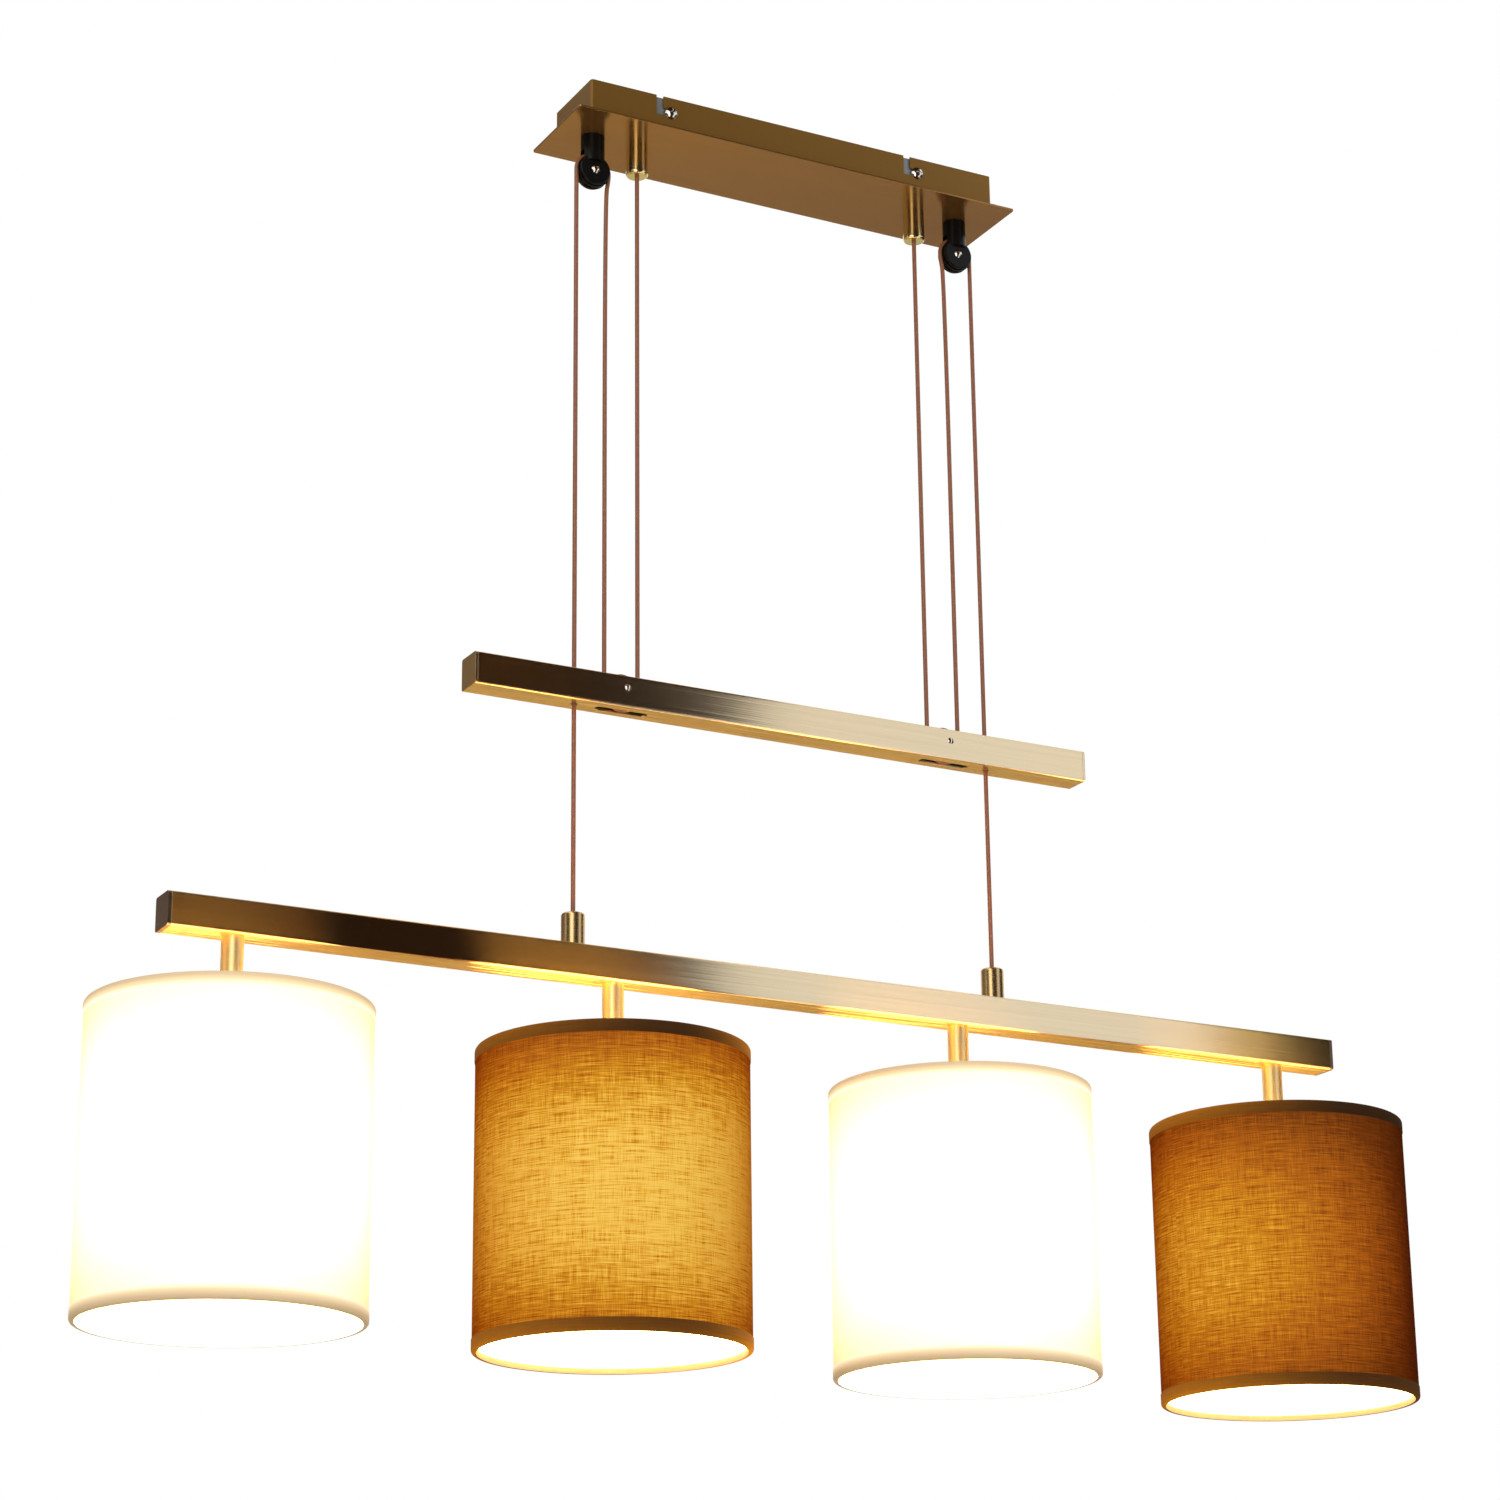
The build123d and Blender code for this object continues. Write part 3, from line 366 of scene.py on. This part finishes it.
for side, sign in (("left", -1), ("right", 1)):
    mirror = Matrix.Diagonal((sign, 1, 1))
    up = Vector((0, 0, STRAIGHT))
    inner = Vector((WEIGHT_WHEEL.x - WHEEL_PITCH, 0, 0))
    middle = Vector((WEIGHT_WHEEL.x + WHEEL_PITCH, 0, 0))
    outer = Vector((CANOPY_WHEEL.x + WHEEL_PITCH, 0, 0))
    loop = [inner + Vector((0, 0, CANOPY_EXIT)), inner + Vector((0, 0, WEIGHT_WHEEL.z)) + up]
    loop += on_wheel(WEIGHT_WHEEL, UNDER_WEIGHT_WHEEL)
    loop += [middle + Vector((0, 0, WEIGHT_WHEEL.z)) + up, middle + Vector((0, 0, CANOPY_WHEEL.z)) - up]
    loop += on_wheel(CANOPY_WHEEL, UP_CANOPY_WHEEL)
    drop = on_wheel(CANOPY_WHEEL, DOWN_CANOPY_WHEEL)
    drop += [outer + Vector((0, 0, CANOPY_WHEEL.z)) - up, outer + Vector((0, 0, BAR_END))]
    loop = [mirror @ corner for corner in loop]
    drop = [mirror @ corner for corner in drop]
    across = sign * CANOPY_WHEEL.x
    taut_cable(side + "_cable_loop", loop)
    taut_cable(side + "_cable_drop", drop)


# Counterweight and lamp bar: square brass tubes with end caps, brushed lengthwise. The brushing spreads what
# the walls mirror up and down, and leaves a satin finish on the level sides. Steel bars inside give the
# counterweight its weight, and the lamp bar's caps are a dark bronze.
WALL_SLOPE = 0.7

satin_brass, paint = new_finish("satin_brass")
brush_lines = grain(paint, waves=(8, 700, 700), detail=1.0)
streaks = grain(paint, waves=(2.5, 450, 450), detail=1.0)
tone = 0.5 * brush_lines + 0.5 * streaks
satin = {
    "Base Color": blend(paint, tone, low=(0.74, 0.585, 0.34, 1), high=(0.88, 0.71, 0.44, 1)),
    "Metallic": 0.86,
    "Specular Tint": (1.0, 0.86, 0.5, 1),
    "Roughness": 0.12 + 0.06 * streaks,
    "Normal": bumped(paint, brush_lines, strength=1.0, depth=0.0006),
}
brushed = {
    "Metallic": 1.0,
    "Roughness": 0.21 + 0.04 * streaks,
    "Anisotropic": 1.0,
    "Anisotropic Rotation": 0.25,
    "Normal": bumped(paint, streaks, strength=0.5, depth=0.0005),
}
paint.dress(satin)
level = Paint(paint.tree, paint.tree.nodes["Principled BSDF"].outputs[0])
wall = paint.node("ShaderNodeBsdfPrincipled", None, {**satin, **brushed})
facing = paint.node("ShaderNodeTexCoord", output="Normal")
facing = paint.node("ShaderNodeSeparateXYZ", None, {0: facing}, output="Z")
upright = paint.math("LESS_THAN", paint.math("ABSOLUTE", facing), WALL_SLOPE)
both = paint.node("ShaderNodeMixShader", None, {0: upright, 1: level, 2: wall})
paint.plug(both, paint.tree.nodes["Material Output"].inputs["Surface"])
paint_nodes(satin_brass, "counterweight_tube", "left_counterweight_cap", "right_counterweight_cap")
paint_nodes(satin_brass, "lamp_bar")

dark_bronze, paint = new_finish("dark_bronze")
patina = grain(paint, waves=(160, 160, 160))
paint.dress(
    {
        "Base Color": blend(paint, patina, low=(0.28, 0.20, 0.14, 1), high=(0.38, 0.28, 0.20, 1)),
        "Metallic": 1.0,
        "Roughness": 0.25 + 0.12 * patina,
        "Normal": bumped(paint, patina, strength=0.03, depth=0.0002),
    }
)
paint_nodes(dark_bronze, "left_bar_cap", "right_bar_cap")

ballast_steel, paint = new_finish("ballast_steel")
scale = grain(paint, waves=(120, 120, 120))
paint.dress(
    {
        "Base Color": blend(paint, scale, low=(0.16, 0.15, 0.15, 1), high=(0.28, 0.27, 0.26, 1)),
        "Metallic": 1.0,
        "Roughness": 0.5 + 0.2 * scale,
    }
)
paint_nodes(ballast_steel, "centre_ballast", "end_ballast")


# Stems: turned satin brass sleeves over threaded tubes, which hold the lampholders under the bar and stand
# in the light that rises out of the shades.
LIGHT_NUMBERS = range(1, 5)

satin_gold, paint = new_finish("satin_gold")
lathe_lines = grain(paint, waves=(60, 60, 2200))
paint.dress(
    {
        "Base Color": blend(paint, lathe_lines, low=(0.68, 0.565, 0.27, 1), high=(0.78, 0.68, 0.365, 1)),
        "Metallic": 0.92,
        "Roughness": 0.36 + 0.1 * lathe_lines,
    }
)
for number in LIGHT_NUMBERS:
    paint_nodes(satin_gold, f"stem_{number}")


# Lampholders and clamp rings: cream moulded plastic with a screw thread. Each ring screws up the holder's
# skirt and clamps the hub of a shade's frame.
THREAD_PITCH = 0.002

cream_moulding, paint = new_finish("cream_moulding")
speckle = grain(paint, waves=(700, 700, 700))
screw_thread = paint.math("PINGPONG", position(paint, "Z"), THREAD_PITCH / 2) / (THREAD_PITCH / 2)
paint.dress(
    {
        "Base Color": blend(paint, speckle, low=(0.70, 0.67, 0.58, 1), high=(0.80, 0.77, 0.69, 1)),
        "Roughness": 0.3 + 0.1 * speckle,
        "Normal": bumped(paint, screw_thread, strength=0.6, depth=0.0005),
    }
)
paint_nodes(cream_moulding, "shade_clamp_rings")
for number in LIGHT_NUMBERS:
    paint_nodes(cream_moulding, f"lampholder_{number}")


# Lamps: frosted glass globes, each fixed in a metal cap, which screws up into the lampholder. They are lit,
# and their orange light falls on the bar above.
CAP_LEVEL = -0.671

lit_glass, paint = new_finish("lit_frosted_glass")
frost = grain(paint, waves=(300, 300, 300))
cap = paint.math("GREATER_THAN", position(paint, "Z"), CAP_LEVEL)
glow = blend(paint, frost, low=(1.0, 0.42, 0.06, 1), high=(1.0, 0.48, 0.09, 1))
paint.dress(
    {
        "Base Color": blend(paint, cap, low=(0.95, 0.93, 0.88, 1), high=(0.62, 0.60, 0.56, 1)),
        "Metallic": cap,
        "Roughness": 0.35 + 0.1 * frost,
        "Emission Color": blend(paint, cap, low=glow, high=(0, 0, 0, 1)),
        "Emission Strength": 6.0,
    }
)
for number in LIGHT_NUMBERS:
    paint_nodes(lit_glass, f"bulb_{number}")


# Shade frames: top rings of wire with three arms and a hub, coated white. A clamp ring holds the hub on
# the lampholder. The bottom rings have no arms and lie in the lower hems.
white_wire, paint = new_finish("white_coated_wire")
coating = grain(paint, waves=(600, 600, 600))
paint.dress(
    {
        "Base Color": blend(paint, coating, low=(0.76, 0.75, 0.72, 1), high=(0.84, 0.83, 0.80, 1)),
        "Roughness": 0.25 + 0.1 * coating,
    }
)
paint_nodes(white_wire, "shade_bottom_rings")
for number in LIGHT_NUMBERS:
    paint_nodes(white_wire, f"shade_frame_{number}")


# Shades: drums of woven fabric on a stiff white lining, lit from inside, two white and two brown. The fabric
# is folded over the wire ring at each rim, where it lies double and lets less light through.
SHADE_RADIUS = 0.080
SHADE_WALL = 0.0008
SHADE_TOP = -0.616
SHADE_BOTTOM = -0.792
SHADE_MIDDLE = (SHADE_TOP + SHADE_BOTTOM) / 2
HALF_HEIGHT = (SHADE_TOP - SHADE_BOTTOM) / 2
HEM_HEIGHT = 0.0072
HEM_PROUD = 0.0004
FOLD_HEIGHT = 0.0032
FOLD_RADIUS = 0.0763
FOLD_TURN = 0.0012
RIM_ROUND = 0.0018
RIM_SEGMENTS = 4
LAP_WIDTH = 0.008
SHADE_SIDES = 160
MERGE_REACH = 0.00001
NEAR = 0.0001
# Each thread's share in the weave, and its waves to the metre round the drum and down it: weft, the weft's
# slubs, warp and the warp's bands.
THREADS = ((1.2, 70, 1900), (0.7, 25, 900), (0.8, 2200, 90), (0.3, 300, 20))
# Light lost towards the rims and under the lap, the depth of a hem's weave beside the cloth's, and how far
# along the glow's colours full light lies.
RIM_LOSS = 0.6
LAP_LOSS = 0.3
HEM_WEAVE = 0.4
GLOW_SCALE = 0.8
# Each cloth's hem colour is painted darker than its cloth colour, as painted shade on the double hems.
CLOTHS = {
    "white": {
        "cloth": (0.82, 0.80, 0.74, 1),
        "thin": (0.88, 0.85, 0.78, 1),
        "weave": 0.10,
        "lamp_low": 0.0,
        "strength": 2.0,
        "glow": [
            (0.0, (0.0, 0.0, 0.0, 1)),
            (0.48, (0.72, 0.59, 0.34, 1)),
            (0.8, (1.0, 0.93, 0.76, 1)),
        ],
        "hem": (0.50, 0.38, 0.24, 1),
        "hem_glow": [
            (0.0, (0.20, 0.145, 0.08, 1)),
            (0.3, (0.28, 0.20, 0.105, 1)),
            (0.7, (0.62, 0.48, 0.28, 1)),
            (1.0, (1.0, 0.88, 0.62, 1)),
        ],
        "hem_lean": 0.2,
        "fold": (1.0, 0.94, 0.80, 1),
        "fold_strength": 2.5,
    },
    "brown": {
        "cloth": (0.16, 0.066, 0.012, 1),
        "thin": (0.68, 0.50, 0.30, 1),
        "weave": 0.85,
        "lamp_low": 0.1,
        "strength": 1.2,
        "glow": [
            (0.0, (0.0, 0.0, 0.0, 1)),
            (0.16, (0.085, 0.017, 0.002, 1)),
            (0.36, (0.37, 0.125, 0.010, 1)),
            (0.48, (0.51, 0.23, 0.017, 1)),
            (0.64, (0.71, 0.45, 0.030, 1)),
            (0.8, (0.94, 0.76, 0.16, 1)),
            (1.0, (1.0, 0.95, 0.30, 1)),
        ],
        "hem": (0.02, 0.008, 0.002, 1),
        "hem_glow": [
            (0.0, (1.0, 0.33, 0.012, 1)),
            (0.3, (0.75, 0.24, 0.009, 1)),
            (1.0, (0.6, 0.195, 0.007, 1)),
        ],
        "hem_lean": -0.6,
        "fold": (0.95, 0.64, 0.24, 1),
        "fold_strength": 1.0,
    },
}
# For each drum: the light in its cloth and how much of it leans to the right, its lining's light, and the
# light in its hems from its own lamp, from the left and from the right.
SHADES = (
    {"x": -0.354, "colour": "white", "level": 1.0, "tilt": 0.0, "lining": 4.0, "hem": (1.0, 0.0, 0.0)},
    {"x": -0.118, "colour": "brown", "level": 1.12, "tilt": 0.10, "lining": 6.6, "hem": (0.09, 0.27, 0.8)},
    {"x": 0.118, "colour": "white", "level": 1.0, "tilt": 0.0, "lining": 4.2, "hem": (1.0, 0.0, 0.0)},
    {"x": 0.354, "colour": "brown", "level": 0.43, "tilt": -0.38, "lining": 4.2, "hem": (0.045, 0.40, 0.0)},
)
# The order of a drum's materials.
CLOTH, HEM, LINING, FOLD = range(4)


def weave(paint, depth):
    """Uneven threads of a cloth on its UV map in metres, from about 1 - depth to 1 + depth."""
    total = -sum(share for share, across, down in THREADS) / 2
    for share, across, down in THREADS:
        along = paint.node("ShaderNodeUVMap", {"uv_map": "cloth"})
        along = paint.node("ShaderNodeMapping", None, {"Vector": along, "Scale": (across, down, 1)})
        sockets = {"Vector": along, "Scale": 1.0}
        total = total + share * paint.node("ShaderNodeTexNoise", {"noise_dimensions": "2D"}, sockets)
    return 1 + total * depth


def times(paint, colour, value):
    """Colour made lighter or darker by a value."""
    settings = {"data_type": "RGBA", "blend_type": "MULTIPLY"}
    return paint.node("ShaderNodeMix", settings, {0: 1.0, 6: colour, 7: value}, output=2)


def rise(paint):
    """Height on a drum, from -1 at its lower rim to 1 at its upper rim."""
    return (position(paint, "Z") - SHADE_MIDDLE) / HALF_HEIGHT


def sideways(paint, drum):
    """Place across a drum, from -1 on its left side to 1 on its right side."""
    return (position(paint, "X") - drum["x"]) / SHADE_RADIUS


def fabric(drum):
    """Lit woven fabric of one drum, brightest at the lamp's height and darker where it laps at the back."""
    cloth = CLOTHS[drum["colour"]]
    material, paint = new_finish(f"{drum['colour']}_fabric")
    threads = weave(paint, cloth["weave"])
    from_lamp = rise(paint) + cloth["lamp_low"]
    along = paint.node("ShaderNodeUVMap", {"uv_map": "cloth"})
    along = paint.node("ShaderNodeSeparateXYZ", None, {0: along}, output="X")
    from_lap = paint.math("ABSOLUTE", along - SHADE_RADIUS * math.pi / 2)
    lap = paint.math("LESS_THAN", from_lap, LAP_WIDTH / 2)
    light = (1 - RIM_LOSS * (from_lamp * from_lamp)) * (1 - LAP_LOSS * lap)
    light = light * (drum["level"] + drum["tilt"] * sideways(paint, drum)) * threads
    glow = paint.node("ShaderNodeValToRGB", {"stops": cloth["glow"]}, {0: GLOW_SCALE * light})
    paint.dress(
        {
            "Base Color": times(paint, cloth["cloth"], threads),
            "Roughness": 0.9,
            "Specular IOR Level": 0.15,
            "Emission Color": glow,
            "Emission Strength": cloth["strength"],
            "Coat Weight": 1.0,
            "Coat Roughness": 1.0,
            "Coat IOR": 1.05,
            "Coat Tint": cloth["thin"],
            "Normal": bumped(paint, threads, strength=0.3, depth=0.0002),
        }
    )
    return material


def hem_fabric(drum):
    """The same fabric where it lies double over a ring. Neighbouring drums light it from the sides."""
    cloth = CLOTHS[drum["colour"]]
    material, paint = new_finish(f"{drum['colour']}_hem")
    threads = weave(paint, HEM_WEAVE * cloth["weave"])
    from_lamp = rise(paint)
    from_rim = (1 - paint.math("ABSOLUTE", from_lamp)) * (HALF_HEIGHT / HEM_HEIGHT)
    glow = paint.node("ShaderNodeValToRGB", {"stops": cloth["hem_glow"]}, {0: from_rim})
    across = sideways(paint, drum)
    left = paint.math("MAXIMUM", 0 - across, 0.0)
    right = paint.math("MAXIMUM", across, 0.0)
    own, from_left, from_right = drum["hem"]
    light = own * (1 + cloth["hem_lean"] * from_lamp)
    light = (light + from_left * (left * left) + from_right * (right * right)) * threads
    paint.dress(
        {
            # Painted shade: the hem's colour is darker than the cloth's, where the double fabric lets less
            # light through.
            "Base Color": times(paint, cloth["hem"], threads),
            "Roughness": 0.85,
            "Specular IOR Level": 0.15,
            "Emission Color": times(paint, glow, light),
            "Emission Strength": 1.0,
            "Normal": bumped(paint, threads, strength=0.2, depth=0.0002),
        }
    )
    return material


def lit_lining(drum):
    """Stiff white lining of one drum, lit by the lamp and more orange above it."""
    material, paint = new_finish("lit_lining")
    mottle = grain(paint, waves=(250, 250, 250))
    upper = paint.node("ShaderNodeClamp", None, {0: 0.5 + rise(paint)})
    paint.dress(
        {
            "Base Color": (0.88, 0.87, 0.82, 1),
            "Roughness": 0.5 + 0.1 * mottle,
            "Emission Color": blend(paint, upper, low=(1.0, 0.69, 0.30, 1), high=(0.78, 0.31, 0.035, 1)),
            "Emission Strength": drum["lining"],
        }
    )
    return material


def fold_fabric(drum):
    """The edge that is turned in over a ring, lit by the lamp itself."""
    cloth = CLOTHS[drum["colour"]]
    material, paint = new_finish(f"{drum['colour']}_fold")
    threads = weave(paint, HEM_WEAVE * cloth["weave"])
    paint.dress(
        {
            "Base Color": times(paint, cloth["cloth"], threads),
            "Roughness": 0.85,
            "Specular IOR Level": 0.15,
            "Emission Color": times(paint, cloth["fold"], threads),
            "Emission Strength": cloth["fold_strength"],
        }
    )
    return material


def on_rim(vertex):
    """Whether a vertex lies on the very top or bottom of a drum."""
    return min(abs(vertex.co.z - SHADE_TOP), abs(vertex.co.z - SHADE_BOTTOM)) < NEAR


for number, drum in enumerate(SHADES, start=1):
    outer = SHADE_RADIUS
    hem = outer + HEM_PROUD
    inner = outer - SHADE_WALL
    outline = [
        (FOLD_RADIUS, SHADE_BOTTOM),
        (hem, SHADE_BOTTOM),
        (hem, SHADE_BOTTOM + HEM_HEIGHT),
        (outer, SHADE_BOTTOM + HEM_HEIGHT + HEM_PROUD),
        (outer, SHADE_TOP - HEM_HEIGHT - HEM_PROUD),
        (hem, SHADE_TOP - HEM_HEIGHT),
        (hem, SHADE_TOP),
        (FOLD_RADIUS, SHADE_TOP),
        (FOLD_RADIUS, SHADE_TOP - FOLD_HEIGHT),
        (inner, SHADE_TOP - FOLD_HEIGHT),
        (inner, SHADE_BOTTOM + FOLD_HEIGHT),
        (FOLD_RADIUS, SHADE_BOTTOM + FOLD_HEIGHT),
    ]
    shell = bmesh.new()
    ring = [shell.verts.new((radius, 0, level)) for radius, level in outline]
    edges = [shell.edges.new((a, b)) for a, b in zip(ring, ring[1:] + ring[:1])]
    bmesh.ops.spin(
        shell,
        geom=ring + edges,
        cent=(0, 0, 0),
        axis=(0, 0, 1),
        angle=2 * math.pi,
        steps=SHADE_SIDES,
        use_merge=True,
    )
    bmesh.ops.remove_doubles(shell, verts=shell.verts, dist=MERGE_REACH)
    bmesh.ops.recalc_face_normals(shell, faces=shell.faces)
    rims = []
    for edge in shell.edges:
        a, b = edge.verts
        if on_rim(a) and on_rim(b) and abs(a.co.xy.length - b.co.xy.length) < NEAR:
            rims.append(edge)
    bmesh.ops.bevel(
        shell,
        geom=rims,
        offset=RIM_ROUND,
        affect="EDGES",
        segments=RIM_SEGMENTS,
        profile=0.5,
        material=-1,
        clamp_overlap=True,
    )
    cloth_map = shell.loops.layers.uv.new("cloth")
    for face in shell.faces:
        face.smooth = True
        middle = face.calc_center_median()
        across = math.atan2(middle.y, middle.x)
        reach = middle.xy.length
        from_rim = min(SHADE_TOP - middle.z, middle.z - SHADE_BOTTOM)
        if from_rim > HEM_HEIGHT and reach < inner + 2 * NEAR:
            face.material_index = LINING
        elif reach < FOLD_RADIUS + FOLD_TURN or (reach < inner and from_rim > RIM_ROUND):
            face.material_index = FOLD
        elif from_rim < HEM_HEIGHT + HEM_PROUD:
            face.material_index = HEM
        else:
            face.material_index = CLOTH
        for loop in face.loops:
            turn = math.atan2(loop.vert.co.y, loop.vert.co.x) - across
            turn = across + math.remainder(turn, 2 * math.pi)
            loop[cloth_map].uv = (turn * outer, loop.vert.co.z)
    bmesh.ops.translate(shell, verts=shell.verts, vec=(drum["x"], 0, 0))
    mesh = bpy.data.meshes.new(f"shade_{number}_fabric")
    shell.to_mesh(mesh)
    shell.free()
    shade = bpy.data.objects.new(f"shade_{number}_fabric", mesh)
    bpy.context.scene.collection.objects.link(shade)
    for material in (fabric(drum), hem_fabric(drum), lit_lining(drum), fold_fabric(drum)):
        mesh.materials.append(material)
    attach(shade, "lamp")
    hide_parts(f"shade_{number}")


# Floor: a wide pale floor with a plain matt finish. It lies below the lamp's lowest place, so that the lamp
# stays clear of it when it is drawn down.
FLOOR_LEVEL = -1.6
FLOOR_REACH = 8.0

floor_mesh = bmesh.new()
bmesh.ops.create_grid(floor_mesh, x_segments=1, y_segments=1, size=FLOOR_REACH)
bmesh.ops.translate(floor_mesh, verts=floor_mesh.verts, vec=(0, 0, FLOOR_LEVEL))
mesh = bpy.data.meshes.new("floor")
floor_mesh.to_mesh(mesh)
floor_mesh.free()
floor = bpy.data.objects.new("floor", mesh)
pale, paint = new_finish("pale_floor")
paint.dress({"Base Color": (0.82, 0.76, 0.64, 1), "Roughness": 0.8})
mesh.materials.append(pale)
bpy.context.scene.collection.objects.link(floor)


# Screens: dark and bright sheets on a sphere round the light, which show only in what the brass mirrors.
# Each has its left and right edges in degrees rightwards from the front, its lower and upper edges in
# degrees from the front up over the top, and its colour and strength.
SCREEN_RADIUS = 1.05
SCREEN_MIDDLE = Vector((0, 0, -0.5))
STEPS_ACROSS = 16
STEPS_UP = 24
DARK = (0.022, 0.012, 0.007, 1)
SCREENS = (
    ("left_screen", -90, -54, -80, 100, DARK, 1.0),
    ("left_reflector", -54, -28, 7, 70, (1.0, 0.97, 0.92, 1), 2.2),
    ("low_reflector", -50, -30, -40, 7, (1.0, 0.97, 0.92, 1), 2.5),
    ("middle_screen", -28, 23.8, -80, 100, DARK, 1.0),
    ("right_reflector", 23.8, 48.5, -80, 100, (0.93, 0.97, 1.1, 1), 1.0),
    ("right_fringe", 48.5, 51.4, -80, 100, (0.54, 0.46, 0.22, 1), 1.0),
    ("right_screen", 51.4, 90, -80, 100, DARK, 1.0),
    ("back_screen", -75, -12, 120, 172, (0.17, 0.135, 0.12, 1), 1.0),
    ("back_wall", -90, 90, 172, 187, (0.47, 0.43, 0.36, 1), 1.0),
    ("back_sheet", -90, 90, 187, 196, (0.73, 0.58, 0.24, 1), 1.0),
    ("back_floor", -90, 90, 196, 250, (0.42, 0.24, 0.07, 1), 1.0),
)
for name, left, right, low, high, colour, strength in SCREENS:
    sheet = bpy.data.materials.new(name)
    sheet.use_nodes = True
    sheet.node_tree.nodes.clear()
    paint = Paint(sheet.node_tree)
    shine = paint.node("ShaderNodeEmission", None, {"Color": colour, "Strength": strength})
    output = sheet.node_tree.nodes.new("ShaderNodeOutputMaterial")
    paint.plug(shine, output.inputs["Surface"])
    screen = bmesh.new()
    turn = math.radians(left)
    corner = screen.verts.new((SCREEN_RADIUS * math.sin(turn), -SCREEN_RADIUS * math.cos(turn), 0))
    wide = math.radians(right - left)
    bmesh.ops.spin(screen, geom=[corner], cent=(0, 0, 0), axis=(0, 0, 1), angle=wide, steps=STEPS_ACROSS)
    lowered = Matrix.Rotation(math.radians(-low), 3, "X")
    bmesh.ops.rotate(screen, verts=screen.verts, cent=(0, 0, 0), matrix=lowered)
    tall = math.radians(high - low)
    arc = screen.verts[:] + screen.edges[:]
    bmesh.ops.spin(screen, geom=arc, cent=(0, 0, 0), axis=(-1, 0, 0), angle=tall, steps=STEPS_UP)
    bmesh.ops.translate(screen, verts=screen.verts, vec=SCREEN_MIDDLE)
    mesh = bpy.data.meshes.new(name)
    screen.to_mesh(mesh)
    screen.free()
    panel = bpy.data.objects.new(name, mesh)
    mesh.materials.append(sheet)
    panel.visible_camera = False
    panel.visible_diffuse = False
    panel.visible_transmission = False
    panel.visible_shadow = False
    bpy.context.scene.collection.objects.link(panel)


# Surround and lamps: an even grey light from all sides, seen and mirrored as white, and two soft lamps.
# Each lamp has its angles to the right and up from the front, its width and height in metres, and its
# power in watts.
world = bpy.data.worlds.new("studio")
bpy.context.scene.world = world
world.use_nodes = True
world.node_tree.nodes.clear()
paint = Paint(world.node_tree)
seen = paint.node("ShaderNodeLightPath", output="Is Camera Ray")
seen = seen + paint.node("ShaderNodeLightPath", output="Is Glossy Ray")
seen = seen + paint.node("ShaderNodeLightPath", output="Is Transmission Ray")
seen = paint.math("MINIMUM", seen, 1.0)
grey = paint.node("ShaderNodeBackground", None, {"Color": (0.95, 0.97, 1.0, 1), "Strength": 0.45})
white = paint.node("ShaderNodeBackground", None, {"Color": (1, 1, 1, 1), "Strength": 1.0})
both = paint.node("ShaderNodeMixShader", None, {0: seen, 1: grey, 2: white})
output = world.node_tree.nodes.new("ShaderNodeOutputWorld")
paint.plug(both, output.inputs["Surface"])

LAMP_AIM = Vector((0, 0, -0.4))
LAMP_DISTANCE = 3.0
LAMPS = (
    ("left_lamp", -45, 16, 1.6, 2.2, 42),
    ("right_lamp", 33, 18, 0.7, 2.2, 30),
)
for name, across, up, wide, tall, power in LAMPS:
    light = bpy.data.lights.new(name, "AREA")
    light.shape = "RECTANGLE"
    light.size = wide
    light.size_y = tall
    light.energy = power
    lamp = bpy.data.objects.new(name, light)
    turn = math.radians(across)
    tilt = math.radians(up)
    away = Vector((math.sin(turn) * math.cos(tilt), -math.cos(turn) * math.cos(tilt), math.sin(tilt)))
    lamp.location = LAMP_AIM + LAMP_DISTANCE * away
    lamp.rotation_euler = away.to_track_quat("Z", "Y").to_euler()
    lamp.visible_camera = False
    lamp.visible_glossy = False
    bpy.context.scene.collection.objects.link(lamp)

bpy.context.scene.view_settings.view_transform = "Standard"


# Camera: below and to the left of the light, as in the photograph, with a long lens. Its place and angles
# come from a fit to the bars' edges and the shades' rims.
LENS_PIXELS = 3692.5
IMAGE_PIXELS = 1500
SENSOR = 36.0
CAMERA_PLACE = (-1.0430, -1.8845, -1.1281)
HEADING = -28.378
LOOK_UP = 18.36
ROLL = -0.634
camera = bpy.data.cameras.new("camera")
camera.sensor_width = SENSOR
camera.lens = SENSOR * LENS_PIXELS / IMAGE_PIXELS
eye = bpy.data.objects.new("camera", camera)
heading = Matrix.Rotation(math.radians(HEADING), 3, "Z")
tilt = Matrix.Rotation(math.radians(90 + LOOK_UP), 3, "X")
roll = Matrix.Rotation(math.radians(ROLL), 3, "Z")
eye.rotation_euler = (heading @ tilt @ roll).to_euler()
eye.location = CAMERA_PLACE
bpy.context.scene.collection.objects.link(eye)
bpy.context.scene.camera = eye
